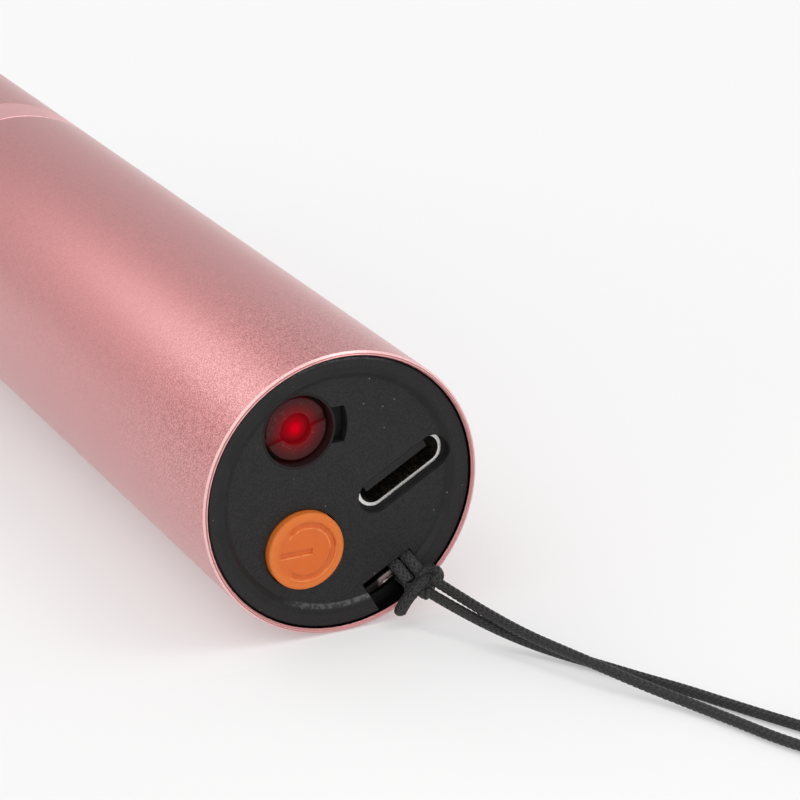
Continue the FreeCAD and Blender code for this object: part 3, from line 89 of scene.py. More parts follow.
# Put-away coil: its place, the angles where the strands meet it, its turns, radii and layers
COIL_CENTRE = (36.5, -37.3)
COIL_ENTRY = 205.0
COIL_EXIT = 240.0
COIL_TURNS_DOWN = 2.75
COIL_LEAST_TURNS_UP = 2
COIL_OUTER = 8.4
COIL_INNER = 4.2
COIL_LOW = 0.55
COIL_LAYER = 1.5
POINTS_PER_TURN = 16
FOLD_STEPS = 6

# Hitch round the bar, in the frame of the insides: across, up and depth behind the rim plane
BAR_UP = -10.3
BAR_DEPTH = 1.5
BAR_RADIUS = 0.5
HITCH_WIDTH = 1.15
HITCH_THICKNESS = 0.6
HITCH_GAP = 0.02
HITCH_PLACES = (0.75, 2.0)
HITCH_LEG_FRONT = 0.7
HITCH_LEG_SPREAD = 0.45
# The way of each turn about the bar's middle, up and behind it, in parts of the turn's radius
HITCH_ROUTE = [(0.9, -1.5), (1.25, 0), (1, 0.9), (0, 1.25), (-1, 0.9), (-1.15, 0), (-1.2, -1.5)]

# Knot: its place and reach, and the span of the plain trefoil curve that it is scaled from
KNOT_ACROSS = 2.0
KNOT_UP = -11.33
KNOT_FRONT = 1.4
KNOT_SLACK = (-0.25, -0.2)
KNOT_REACH = (1.9, 1.45, 1.35)
KNOT_POINTS = 96
KNOT_WEAVE = 0.62
KNOT_HEART = 0.62
TREFOIL_ACROSS = 2.7
TREFOIL_UP = 2.9
BALL_RINGS = 16
BALL_SEGMENTS = 24

# Braid of the cord: yarns each way, the length of one turn of a yarn and the yarn's section
YARNS_EACH_WAY = 8
YARN_PITCH = 4.6
YARN_STEP = 0.17
YARN_HALF_WIDTH = 0.165
YARN_HALF_THICKNESS = 0.06
YARN_WAVE = 0.05
YARN_SIDES = 6
CORE_SHARE = 0.74
CORE_SIDES = 12


def towards(azimuth, elevation):
    """A direction, in degrees: azimuth 0 is +Y and 90 is +X."""
    azimuth, elevation = math.radians(azimuth), math.radians(elevation)
    flat = math.cos(elevation)
    return Vector((math.sin(azimuth) * flat, math.cos(azimuth) * flat, math.sin(elevation)))


def turned(across, up, turn=INSIDE_TURN):
    """A place across and up, turned by some degrees about the depth axis."""
    turn = math.radians(turn)
    return (across * math.cos(turn) - up * math.sin(turn),
            across * math.sin(turn) + up * math.cos(turn))


def from_foot(point):
    """A point measured from the foot of the rim plane, in metres of the part's frame."""
    return Vector((point[0], point[1] + RIM_PLANE, point[2])) * MM


def from_inside(across, up, depth):
    """A point of the insides' frame, in metres of the part's frame."""
    x, z = turned(across, up)
    return Vector((x, depth + RIM_PLANE, z + TUBE_AXIS_HEIGHT)) * MM


def put(name, data, place, back):
    """A camera or a lamp at a place, with its back to a direction."""
    thing = bpy.data.objects.new(name, data)
    bpy.context.scene.collection.objects.link(thing)
    thing.location = place
    thing.rotation_mode = "QUATERNION"
    thing.rotation_quaternion = (-back).to_track_quat("-Z", "Y")
    return thing


# Camera
def make_camera():
    """The camera that stands where the photograph's did."""
    data = bpy.data.cameras.new("camera")
    data.lens = CAMERA_LENS
    data.sensor_width = CAMERA_SENSOR
    data.clip_start = CAMERA_NEAR * MM
    data.clip_end = CAMERA_FAR * MM
    back = towards(CAMERA_AZIMUTH, CAMERA_ELEVATION)
    bpy.context.scene.camera = put("camera", data, Vector(CAMERA_PLACE) * MM, back)


make_camera()


# Wrist cord
def spline_points(name, route):
    """The points of a smooth line with the route as its control points."""
    curve = bpy.data.curves.new(name, "CURVE")
    curve.dimensions = "3D"
    spline = curve.splines.new("NURBS")
    spline.points.add(len(route) - 1)
    for control, place in zip(spline.points, route):
        control.co = (*place, 1)
    spline.order_u = 3
    spline.use_endpoint_u = True
    spline.resolution_u = SPLINE_STEPS
    line = bpy.data.objects.new(name, curve)
    mesh = bpy.data.meshes.new_from_object(line)
    points = [vertex.co.copy() for vertex in mesh.vertices]
    bpy.data.objects.remove(line)
    bpy.data.curves.remove(curve)
    bpy.data.meshes.remove(mesh)
    return points


def winding(start_angle, turns, way, start_radius, end_radius, height):
    """A flat spiral on the table, from one radius to another."""
    count = int(round(turns * POINTS_PER_TURN))
    places = []
    for index in range(count + 1):
        share = index / count
        radius = start_radius + (end_radius - start_radius) * share
        angle = math.radians(start_angle + way * 360 * turns * share)
        places.append((COIL_CENTRE[0] + radius * math.cos(angle),
                       COIL_CENTRE[1] + radius * math.sin(angle), height))
    return places


def coil_fold(angle):
    """The S in the middle of the coil, which climbs from the lower layer to the upper one."""
    outward = Vector((math.cos(angle), math.sin(angle)))
    along = Vector((-outward.y, outward.x))
    places = []
    for half, way in enumerate((1, -1)):
        for step in range(FOLD_STEPS):
            share = (step + 0.5) / FOLD_STEPS
            swing = math.pi * share
            spoke = outward * math.cos(swing) + along * math.sin(swing) * way
            spot = (outward * way + spoke) * COIL_INNER / 2
            height = COIL_LOW + COIL_LAYER * (half + share) / 2
            places.append((COIL_CENTRE[0] + spot.x, COIL_CENTRE[1] + spot.y, height))
    return places


def coil_route():
    """Strand b winds in on the table, folds in an S, and strand a winds out on top."""
    turn_back = COIL_ENTRY + 360 * COIL_TURNS_DOWN
    way_out = turn_back + 180
    turns_up = (way_out - COIL_EXIT) / 360
    turns_up -= math.floor(turns_up - COIL_LEAST_TURNS_UP)
    down = winding(COIL_ENTRY, COIL_TURNS_DOWN, 1, COIL_OUTER, COIL_INNER, COIL_LOW)
    up = winding(way_out, turns_up, -1, COIL_INNER, COIL_OUTER, COIL_LOW + COIL_LAYER)
    return down + coil_fold(math.radians(turn_back)) + up


def evenly(points, step):
    """Points along a line at even steps, with the direction of the line at each."""
    points = np.array([tuple(point) for point in points])
    keep = np.ones(len(points), bool)
    keep[1:] = np.linalg.norm(np.diff(points, axis=0), axis=1) > SAME_PLACE
    points = points[keep]
    lengths = np.concatenate(([0], np.cumsum(np.linalg.norm(np.diff(points, axis=0), axis=1))))
    count = max(2, int(round(lengths[-1] / step)))
    stations = np.linspace(0, lengths[-1], count + 1)
    spots = np.stack([np.interp(stations, lengths, points[:, axis]) for axis in range(3)], 1)
    courses = np.gradient(spots, axis=0)
    courses /= np.linalg.norm(courses, axis=1)[:, None]
    return stations, spots, courses


def carried_sides(courses, start):
    """A side direction at each station that turns with the line and never twists about it."""
    sides = np.empty_like(courses)
    side = np.array(start, float)
    for index, course in enumerate(courses):
        side = side - course * side.dot(course)
        side /= np.linalg.norm(side)
        sides[index] = side
    return sides


def ring_faces(first, rings, sides, closed):
    """The faces of a tube of rings, with its two ends capped unless it closes on itself."""
    faces = []
    for ring in range(rings if closed else rings - 1):
        here = first + ring * sides
        there = first + (ring + 1) % rings * sides
        for corner in range(sides):
            after = (corner + 1) % sides
            faces.append((here + corner, here + after, there + after, there + corner))
    if not closed:
        faces.append(tuple(first + corner for corner in reversed(range(sides))))
        faces.append(tuple(first + (rings - 1) * sides + corner for corner in range(sides)))
    return faces


def angles_round(count):
    """The angles of evenly spaced corners of one ring."""
    return [2 * math.pi * corner / count for corner in range(count)]


def tube_map(across, stations):
    """The map of a tube: a place across it for each corner, and the millimetres along it."""
    return np.stack(np.meshgrid(across, stations / MM), 2).reshape(-1, 2)


def mesh_piece(name, vertices, faces, uvs):
    """A smooth-shaded mesh object that rides on the root body."""
    mesh = bpy.data.meshes.new(name)
    mesh.from_pydata([tuple(vertex) for vertex in vertices], [], faces)
    mesh.polygons.foreach_set("use_smooth", [True] * len(mesh.polygons))
    layer = mesh.uv_layers.new(name="along")
    corners = np.empty(len(mesh.loops), np.int32)
    mesh.loops.foreach_get("vertex_index", corners)
    layer.data.foreach_set("uv", np.asarray(uvs, np.float32)[corners].ravel())
    mesh.update()
    piece = bpy.data.objects.new(name, mesh)
    bpy.context.scene.collection.objects.link(piece)
    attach(piece, "root")
    return piece


def braided(name, points, diameter, side=(0, 0, 1), flat=(1.0, 1.0), closed=False):
    """A braided tube along a line: yarns that wind both ways, two over and two under, on a core."""
    step, pitch, wave = YARN_STEP * MM, YARN_PITCH * MM, YARN_WAVE * MM
    half_width, half_thick = YARN_HALF_WIDTH * MM, YARN_HALF_THICKNESS * MM
    stations, spots, courses = evenly(points, step)
    if closed:
        stations, spots, courses = stations[:-1], spots[:-1], courses[:-1]
        length = stations[-1] + step
        pitch = length / max(1, round(length / pitch))
    sides = carried_sides(courses, side)
    ups = np.cross(courses, sides)
    radius = diameter / 2 * MM
    middle = radius - wave - half_thick
    lean = math.atan2(2 * math.pi * middle, pitch)
    turn = 2 * math.pi * stations / pitch
    vertices, faces, uvs = [], [], []

    def spokes(angle):
        """The way out of the line at an angle for each station, with the tube pressed flat."""
        return sides * np.cos(angle)[..., None] * flat[0] + ups * np.sin(angle)[..., None] * flat[1]

    def add_tube(rings, across):
        faces.extend(ring_faces(sum(len(part) for part in vertices), len(stations), len(rings), closed))
        vertices.append(np.stack(rings, 1).reshape(-1, 3))
        uvs.append(tube_map(across, stations))

    corners = angles_round(YARN_SIDES)
    for way in (1, -1):
        for yarn in range(YARNS_EACH_WAY):
            angle = way * turn + 2 * math.pi * yarn / YARNS_EACH_WAY
            beat = 2 * yarn + way * turn * YARNS_EACH_WAY / math.pi
            lift = way * wave * np.cos(2 * math.pi * (beat - 0.5) / 4)
            out = spokes(angle)
            centre = spots + out * (middle + lift)[:, None]
            thick = out / np.linalg.norm(out, axis=1)[:, None] * half_thick
            broad = spokes(angle + math.pi / 2) * math.cos(lean) - courses * way * math.sin(lean)
            broad *= half_width
            add_tube([centre + broad * math.cos(corner) + thick * math.sin(corner) for corner in corners],
                     [math.cos(corner) / 2 + 0.5 for corner in corners])
    add_tube([spots + spokes(corner) * radius * CORE_SHARE for corner in angles_round(CORE_SIDES)],
             [0.0] * CORE_SIDES)
    return mesh_piece(name, np.concatenate(vertices), faces, np.concatenate(uvs))


def ball(name, centre, reach, turn=0.0):
    """A rounded lump: an ellipsoid of rings about the up axis, turned about the depth axis."""
    vertices = []
    for ring in range(1, BALL_RINGS):
        tilt = math.pi * ring / BALL_RINGS
        for around in angles_round(BALL_SEGMENTS):
            x = reach[0] * math.sin(tilt) * math.cos(around)
            y = reach[1] * math.sin(tilt) * math.sin(around)
            across, up = turned(x, reach[2] * math.cos(tilt), turn)
            vertices.append(centre + Vector((across, y, up)) * MM)
    faces = ring_faces(0, BALL_RINGS - 1, BALL_SEGMENTS, False)
    return mesh_piece(name, vertices, faces, [(0.0, 0.0)] * len(vertices))


def joined(name, pieces):
    """Several mesh objects as one."""
    for other in bpy.context.selected_objects:
        other.select_set(False)
    for piece in pieces:
        piece.select_set(True)
    bpy.context.view_layer.objects.active = pieces[0]
    bpy.ops.object.join()
    whole = bpy.context.view_layer.objects.active
    whole.name = name
    whole.data.name = name
    whole.select_set(False)
    return whole


def make_cord():
    """The doubled cord: out along strand a, through the put-away coil and back along strand b."""
    route = STRAND_A + list(reversed(coil_route())) + list(reversed(STRAND_B))
    points = spline_points("cord_line", [from_foot(point) for point in route])
    cord = braided("wrist_cord", points, STRAND_DIAMETER)
    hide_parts("lanyard_strand_a", "lanyard_strand_b", "lanyard_coil")
    return cord, points


def make_knot():
    """An overhand knot pulled tight, with the cords and the hitch running into it."""
    centre = from_inside(KNOT_ACROSS + KNOT_SLACK[0], KNOT_UP + KNOT_SLACK[1], -KNOT_FRONT)
    reach = [size - CORD_DIAMETER / 2 for size in KNOT_REACH]
    line = []
    for index in range(KNOT_POINTS + 1):
        bend = 2 * math.pi * index / KNOT_POINTS
        x = (math.sin(bend) + 2 * math.sin(2 * bend)) / TREFOIL_ACROSS * reach[0]
        y = -math.sin(3 * bend) * reach[1] * KNOT_WEAVE
        z = (math.cos(bend) - 2 * math.cos(2 * bend)) / TREFOIL_UP * reach[2]
        across, up = turned(x, z)
        line.append(centre + Vector((across, y, up)) * MM)
    loops = braided("knot_loops", line, CORD_DIAMETER, closed=True)
    heart = ball("knot_heart", centre, [size * KNOT_HEART for size in KNOT_REACH], INSIDE_TURN)
    knot = joined("cord_knot", [loops, heart])
    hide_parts("lanyard_knot")
    return knot


def make_cord_tail():
    """The short end that sticks out of the knot, melted round at its tip."""
    points = spline_points("tail_line", [from_foot(point) for point in CORD_END])
    stub = braided("tail_braid", points, CORD_DIAMETER * CORD_END_SPREAD)
    tip = ball("tail_tip", from_foot(CORD_END[-1]), CORD_TIP_REACH)
    tail = joined("cord_tail", [stub, tip])
    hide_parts("lanyard_tail")
    return tail


def make_hitch():
    """Two turns of the cord round the bar, pressed flat, with their legs in the knot."""
    bar_x, bar_z = turned(1, 0)
    radius = BAR_RADIUS + HITCH_THICKNESS / 2 + HITCH_GAP
    flat = (HITCH_WIDTH / CORD_DIAMETER, HITCH_THICKNESS / CORD_DIAMETER)
    round_bar = [(BAR_UP + up * radius, BAR_DEPTH + depth * radius) for up, depth in HITCH_ROUTE]
    first_leg, last_leg = ((KNOT_UP + side, HITCH_LEG_FRONT - KNOT_FRONT)
                           for side in (HITCH_LEG_SPREAD, -HITCH_LEG_SPREAD))
    route = [first_leg, *round_bar, last_leg]
    turns = []
    for index, across in enumerate(HITCH_PLACES):
        points = spline_points("hitch_line", [from_inside(across, up, depth) for up, depth in route])
        turns.append(braided("hitch_turn_%d" % index, points, CORD_DIAMETER, (bar_x, 0, bar_z), flat))
    hitch = joined("cord_hitch", turns)
    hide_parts("lanyard_hitch")
    return hitch


cord, cord_points = make_cord()
knot = make_knot()
cord_tail = make_cord_tail()
hitch = make_hitch()


# Shader nodes. The two shares are how much of a band or a speck is solid; the rest fades out
BAND_SOLID = 0.3
SPECK_SOLID = 0.4


class Nodes:
    """The nodes of a material or of the world."""

    def __init__(self, tree):
        self.tree = tree

    def add(self, kind, **settings):
        """A node, with its properties set by name."""
        node = self.tree.nodes.new(kind)
        for setting, value in settings.items():
            setattr(node, setting, value)
        return node

    def join(self, source, target):
        """A link from one socket to another, or a plain value on the target."""
        if isinstance(source, bpy.types.NodeSocket):
            self.tree.links.new(source, target)
        else:
            target.default_value = source

    def math(self, operation, first, second=0.0, third=0.0):
        """One step of arithmetic."""
        node = self.add("ShaderNodeMath", operation=operation)
        for socket, value in zip(node.inputs, (first, second, third)):
            self.join(value, socket)
        return node.outputs[0]

    def ramp(self, source, low, high, start=0.0, end=1.0):
        """The source mapped smoothly from one span to another, and held inside it."""
        node = self.add("ShaderNodeMapRange", interpolation_type="SMOOTHSTEP")
        self.join(source, node.inputs["Value"])
        if low > high:
            low, high, start, end = high, low, end, start
        for socket, value in zip(("From Min", "From Max", "To Min", "To Max"), (low, high, start, end)):
            node.inputs[socket].default_value = value
        return node.outputs["Result"]

    def times(self, *factors):
        """The product of several patterns."""
        product = factors[0]
        for factor in factors[1:]:
            product = self.math("MULTIPLY", product, factor)
        return product

    def most(self, *patterns):
        """The strongest of several patterns."""
        strongest = patterns[0]
        for pattern in patterns[1:]:
            strongest = self.math("MAXIMUM", strongest, pattern)
        return strongest

    def both(self, first, second, share):
        """The sum of two patterns, of which the first has this share."""
        return self.math("ADD", self.times(first, share), self.times(second, 1 - share))

    def either(self, mask, off, on):
        """One value where the mask is 0 and another where it is 1."""
        return self.ramp(mask, 0.0, 1.0, off, on)

    def spread(self, noise, start, end, half=0.2):
        """A noise, which stays near a half, mapped from one value to another."""
        return self.ramp(noise, 0.5 - half, 0.5 + half, start, end)

    def beyond(self, source, edge, soft):
        """1 where the source is past an edge."""
        return self.ramp(source, edge - soft, edge + soft)

    def within(self, source, edge, soft):
        """1 where the source hasn't reached an edge."""
        return self.ramp(source, edge + soft, edge - soft)

    def gap(self, source, middle):
        """How far the source is from a value, on either side."""
        return self.math("ABSOLUTE", self.math("SUBTRACT", source, middle))

    def band(self, source, middle, half):
        """1 where the source is near a value, fading out on both sides."""
        return self.ramp(self.gap(source, middle), half, half * BAND_SOLID)


class Paint(Nodes):
    """A material and the nodes that paint it."""

    def __init__(self, name, colour, metallic=0.0, roughness=0.5, **sockets):
        self.material = bpy.data.materials.new(name)
        self.material.use_nodes = True
        super().__init__(self.material.node_tree)
        self.shader = self.tree.nodes["Principled BSDF"]
        self.colour = colour
        self.shader.inputs["Base Color"].default_value = (*colour, 1)
        self.shader.inputs["Metallic"].default_value = metallic
        self.shader.inputs["Roughness"].default_value = roughness
        for socket, value in sockets.items():
            self.shader.inputs[socket.replace("_", " ")].default_value = value
        self.place = self.add("ShaderNodeTexCoord").outputs["Object"]
        self.height = None

    def noise(self, size_mm, detail=2.0, stretch=(1, 1, 1), where=None):
        """Cloudy noise whose features are about this many millimetres across."""
        node = self.add("ShaderNodeTexNoise")
        node.inputs["Scale"].default_value = 1 / (size_mm * MM)
        node.inputs["Detail"].default_value = detail
        spot = where or self.place
        if stretch != (1, 1, 1):
            mapping = self.add("ShaderNodeMapping")
            mapping.inputs["Scale"].default_value = stretch
            self.join(spot, mapping.inputs["Vector"])
            spot = mapping.outputs["Vector"]
        self.join(spot, node.inputs["Vector"])
        return node.outputs["Fac"]

    def specks(self, size_mm, share):
        """Sparse round specks: 1 on the specks and 0 elsewhere."""
        cells = self.add("ShaderNodeTexVoronoi")
        cells.inputs["Scale"].default_value = 1 / (size_mm * MM)
        self.join(self.place, cells.inputs["Vector"])
        return self.ramp(cells.outputs["Distance"], share, share * SPECK_SOLID)

    def mix(self, share, first, second):
        """A blend of two colours."""
        node = self.add("ShaderNodeMix", data_type="RGBA")
        self.join(share, node.inputs["Factor"])
        for value, socket in ((first, node.inputs["A"]), (second, node.inputs["B"])):
            self.join(value if isinstance(value, bpy.types.NodeSocket) else (*value, 1), socket)
        return node.outputs["Result"]

    def mottle(self, pattern, strength):
        """The base colour made a little darker and lighter by a pattern."""
        dark = tuple(channel * (1 - strength) for channel in self.colour)
        light = tuple(min(1, channel * (1 + strength)) for channel in self.colour)
        return self.mix(pattern, dark, light)

    def axis(self, name):
        """One coordinate of the place, in millimetres of the part's frame."""
        parts = self.add("ShaderNodeSeparateXYZ")
        self.join(self.place, parts.inputs[0])
        return self.math("MULTIPLY", parts.outputs[name], 1 / MM)

    def depth(self):
        """How far the place is behind the rim plane, in millimetres."""
        return self.math("SUBTRACT", self.axis("Y"), RIM_PLANE)

    def offsets(self, line):
        """How far across and up the place is from a line along the barrel, in millimetres."""
        return [self.math("SUBTRACT", self.axis(name), value) for name, value in zip("XZ", line)]

    def from_line(self, line=(0.0, TUBE_AXIS_HEIGHT)):
        """The distance from a line along the barrel, or from its own axis, in millimetres."""
        squares = [self.math("POWER", offset, 2.0) for offset in self.offsets(line)]
        return self.math("SQRT", self.math("ADD", *squares))

    def distance(self, centre):
        """The distance from a point of the part's frame, in millimetres."""
        node = self.add("ShaderNodeVectorMath", operation="DISTANCE")
        self.join(self.place, node.inputs[0])
        node.inputs[1].default_value = centre
        return self.math("MULTIPLY", node.outputs["Value"], 1 / MM)

    def glow(self, away, strengths):
        """Red light that falls off with distance: (millimetres, strength) pairs."""
        fall = self.add("ShaderNodeValToRGB")
        stops = fall.color_ramp.elements
        reach, brightest = strengths[-1][0], max(strength for place, strength in strengths)
        self.join(self.math("DIVIDE", away, reach), fall.inputs["Fac"])
        for index, (place, strength) in enumerate(strengths):
            stop = stops[index] if index < len(stops) else stops.new(1.0)
            stop.position = place / reach
            stop.color = (strength / brightest,) * 3 + (1,)
        self.shader.inputs["Emission Color"].default_value = (*LASER_RED, 1)
        light = self.math("MULTIPLY", fall.outputs["Color"], brightest)
        self.join(light, self.shader.inputs["Emission Strength"])

    def relief(self, pattern, depth_mm):
        """Bump of a pattern whose full height is this many millimetres."""
        step = self.math("MULTIPLY", pattern, depth_mm * MM)
        self.height = step if self.height is None else self.math("ADD", self.height, step)

    def finish(self, colour, roughness=None):
        """Join what was painted to the shader."""
        self.join(colour, self.shader.inputs["Base Color"])
        if roughness is not None:
            self.join(roughness, self.shader.inputs["Roughness"])
        if self.height is not None:
            bump = self.add("ShaderNodeBump")
            bump.inputs["Distance"].default_value = 1.0
            self.join(self.height, bump.inputs["Height"])
            self.join(bump.outputs["Normal"], self.shader.inputs["Normal"])
        return self.material


# Barrel finish. A fade is a span in millimetres and the values at its two ends
ROSE = (0.61, 0.225, 0.23)
ROSE_DEEP = (0.44, 0.105, 0.115)
ROSE_LIT = (0.78, 0.345, 0.345)
ROSE_PALE = (0.9, 0.5, 0.51)
GRAIN_SHARE = 0.85
GRAIN_SPAN = (0.36, 0.64)
GRAIN_FADE_BACK = (0.0, 26.0, 1.3, 0.42)
GRAIN_FADE_UP = (9.0, 20.0, 0.55, 1.0)
RIM_DEPTH = 0.3
RIM_SPLIT = 12.8
RIM_SPLIT_EDGES = (RIM_SPLIT - 0.02, RIM_SPLIT + 0.03)
RIM_WAVE = 0.03
RIM_CUT = (0.86, 0.5, 0.49)
RIM_BAND = (0.86, 0.4, 0.4)
# Dark colour of the rim's line of painted shade, which the nicks share
RIM_SHADE_AND_NICKS = (0.25, 0.07, 0.07)
RIM_SHADE_LINE_HALF = (0.06, 0.025)
RIM_SHADE_AND_NICKS_SHARE = 0.85
RIM_NICKS = (0.62, 0.7)
RIM_BAND_BARE = 0.75
# Bore: painted black as painted shade, from these depths behind the rim plane and inside this radius
BORE_START = 0.37
BORE_END = 81.95
BORE_RADIUS = 12.6
BORE_SHADE_BLACK = (0.012, 0.011, 0.011)


def blasted_skin(paint, grain, depth):
    """The blasted skin's colour: a speckle that is strongest at the rim and weaker low on the barrel."""
    speckle = paint.both(grain, paint.noise(size_mm=0.5), GRAIN_SHARE)
    contrast = paint.times(paint.ramp(depth, *GRAIN_FADE_BACK), paint.ramp(paint.axis("Z"), *GRAIN_FADE_UP))
    centred = paint.math("SUBTRACT", paint.ramp(speckle, *GRAIN_SPAN), 0.5)
    return paint.mix(paint.math("MULTIPLY_ADD", centred, contrast, 0.5), ROSE_DEEP, ROSE_LIT)


def turned_rim(paint, rim):
    """The rim's colour: a bright cut, a pinker band inside it, a dark line of painted shade between them, and
    nicks.
    """
    wavy = paint.math("MULTIPLY_ADD", paint.noise(size_mm=0.3), RIM_WAVE, paint.from_line())
    cut = paint.ramp(wavy, *RIM_SPLIT_EDGES)
    # A dark line of painted shade where the cut meets the band, standing for the edge between them
    line = paint.ramp(paint.gap(wavy, RIM_SPLIT), *RIM_SHADE_LINE_HALF)
    nicks = paint.ramp(paint.noise(size_mm=0.09), *RIM_NICKS)
    bare = paint.times(rim, paint.most(line, paint.either(cut, RIM_BAND_BARE, 0.0)))
    paint.join(paint.either(bare, 1.0, 0.0), paint.shader.inputs["Coat Weight"])
    marks = paint.times(paint.most(nicks, line), RIM_SHADE_AND_NICKS_SHARE)
    return paint.mix(marks, paint.mix(cut, RIM_BAND, RIM_CUT), RIM_SHADE_AND_NICKS)


def blasted_rose():
    """Bead-blasted, anodised aluminium with a paler, smoother turned rim, and its bore painted black as
    painted shade.
    """
    paint = Paint("rose_blasted", ROSE, metallic=1.0, Coat_Weight=1.0, Coat_Roughness=0.3, Coat_IOR=1.6)
    grain = paint.noise(size_mm=0.13)
    depth = paint.depth()
    rim = paint.within(depth, RIM_DEPTH, soft=0.05)
    # Painted shade: the bore behind the rim is painted black
    bore = paint.times(paint.beyond(depth, BORE_START, soft=0.05), paint.within(depth, BORE_END, soft=0.05),
                       paint.within(paint.from_line(), BORE_RADIUS, soft=0.02))
    outside = paint.mix(rim, blasted_skin(paint, grain, depth), turned_rim(paint, rim))
    paint.join(paint.either(rim, 1.0, 0.3), paint.shader.inputs["Metallic"])
    paint.relief(paint.times(grain, paint.either(rim, 1.0, 0.15)), depth_mm=0.035)
    rough = paint.times(paint.spread(grain, 0.46, 0.6), paint.either(rim, 1.0, 0.6))
    return paint.finish(paint.mix(bore, outside, BORE_SHADE_BLACK), rough)


def turned_rose():
    """The trim ring and the neck: turned smooth, with fine lines round them."""
    paint = Paint("rose_turned", ROSE_PALE, metallic=1.0, roughness=0.42,
                  Coat_Weight=0.1, Coat_Roughness=0.3, Coat_IOR=1.5)
    lines = paint.noise(size_mm=0.09, stretch=(0.02, 1, 0.02))
    paint.relief(lines, depth_mm=0.004)
    return paint.finish(paint.mottle(paint.noise(size_mm=1.5), strength=0.05), paint.spread(lines, 0.38, 0.5))


# Black plate: its colours, and where its painted shade round the border, its painted highlight on the ledge
# and its painted highlight on the edge lie, in millimetres
PLATE_BLACK = (0.0085, 0.0078, 0.0084)
PLATE_CORNER_SHADE = (0.002, 0.002, 0.002)
PLATE_HIGHLIGHT = (0.075, 0.075, 0.078)
PLATE_DUST = (0.2, 0.19, 0.18)
PLATE_FRONT = 1.15
BORDER_CENTRE = (-0.3, TUBE_AXIS_HEIGHT + 0.15)
BORDER_RADIUS = 10.95
BORDER_HALF = 0.7
BORDER_SHADE_SHARE = 0.65
LEDGE_RADIUS = 10.6
LEDGE_HALF = 0.3
LEDGE_UP = (-9.2, -10.1)
EDGE_RADIUS = 12.3
EDGE_HALF = 0.22
EDGE_UP = (10.8, 12.0)
EDGE_HIGHLIGHT_SHARE = 0.7


def black_moulding():
    """Black plastic with a fine spark-eroded grain, a few smudges, specks of dust, painted shade round the
    border step and painted highlights on the ledge and the top edge.
    """
    paint = Paint("black_moulding", PLATE_BLACK, roughness=0.6, Specular_IOR_Level=0.4)
    grain = paint.noise(size_mm=0.13, detail=3)
    smudge = paint.noise(size_mm=3.5, detail=3)
    dust = paint.most(paint.specks(size_mm=1.5, share=0.05), paint.specks(size_mm=2.3, share=0.045))
    front = paint.within(paint.depth(), PLATE_FRONT, soft=0.15)
    away = paint.from_line()
    across, up = paint.offsets(BORDER_CENTRE)
    # Painted shade in the corner of the border step
    corner = paint.times(front, paint.band(paint.from_line(BORDER_CENTRE), BORDER_RADIUS, BORDER_HALF))
    # Painted highlights: on the ledge low on the plate's front, and on its edge at the top
    ledge_highlight = paint.times(front, paint.band(away, LEDGE_RADIUS, LEDGE_HALF), paint.ramp(up, *LEDGE_UP))
    edge = paint.times(front, paint.band(away, EDGE_RADIUS, EDGE_HALF), paint.ramp(up, *EDGE_UP), EDGE_HIGHLIGHT_SHARE)
    patchy = paint.spread(paint.noise(size_mm=0.35, detail=3), 0.25, 1.0, half=0.1)
    colour = paint.mottle(paint.spread(paint.both(grain, smudge, 0.7), 0.0, 1.0, half=0.15), strength=0.8)
    colour = paint.mix(paint.times(corner, BORDER_SHADE_SHARE), colour, PLATE_CORNER_SHADE)
    colour = paint.mix(paint.times(paint.most(ledge_highlight, edge), patchy), colour, PLATE_HIGHLIGHT)
    colour = paint.mix(dust, colour, PLATE_DUST)
    paint.relief(grain, depth_mm=0.03)
    return paint.finish(colour, paint.spread(smudge, 0.52, 0.68, half=0.15))


# Power button: its colours and the places on its front, in millimetres from its middle
ORANGE = (0.66, 0.13, 0.016)
ORANGE_RING = (0.7, 0.175, 0.025)
# Painted shade and painted highlight on the edges of the pressed mark
ORANGE_SHADE = (0.4, 0.06, 0.006)
ORANGE_LIT = (0.95, 0.36, 0.12)
BUTTON_ACROSS = -5.31
BUTTON_UP = -2.4
BUTTON_RING = (2.5, 3.15)
MARK_INNER = 2.2
MARK_OUTER = 2.7
MARK_HALF = 0.13
MARK_MIDDLE = 0.2
MARK_OPENING = (-1.9, -1.4)
STROKE_START = (-2.6, -2.4)
STROKE_END = (0.55, 0.45)
STROKE_LIT = (-0.28, 0.12)
STROKE_SHADE = (0.2, 0.14)


def mark_lines(paint, line):
    """Painted highlights and painted shade along the pressed mark's edges: a broken ring and a stroke."""
    across, up = paint.offsets(line)
    away = paint.from_line(line)
    high, low = paint.beyond(up, 0.0, MARK_MIDDLE), paint.within(up, 0.0, MARK_MIDDLE)
    inner, outer = (paint.band(away, radius, MARK_HALF) for radius in (MARK_INNER, MARK_OUTER))
    ring = paint.ramp(across, *MARK_OPENING)
    stroke = paint.times(paint.ramp(across, *STROKE_START), paint.ramp(across, *STROKE_END))
    lit = paint.most(paint.times(ring, low, outer), paint.times(ring, high, inner),
                     paint.times(stroke, paint.band(up, *STROKE_LIT)))
    shade = paint.most(paint.times(ring, low, inner), paint.times(ring, high, outer),
                       paint.times(stroke, paint.band(up, *STROKE_SHADE)))
    return lit, shade


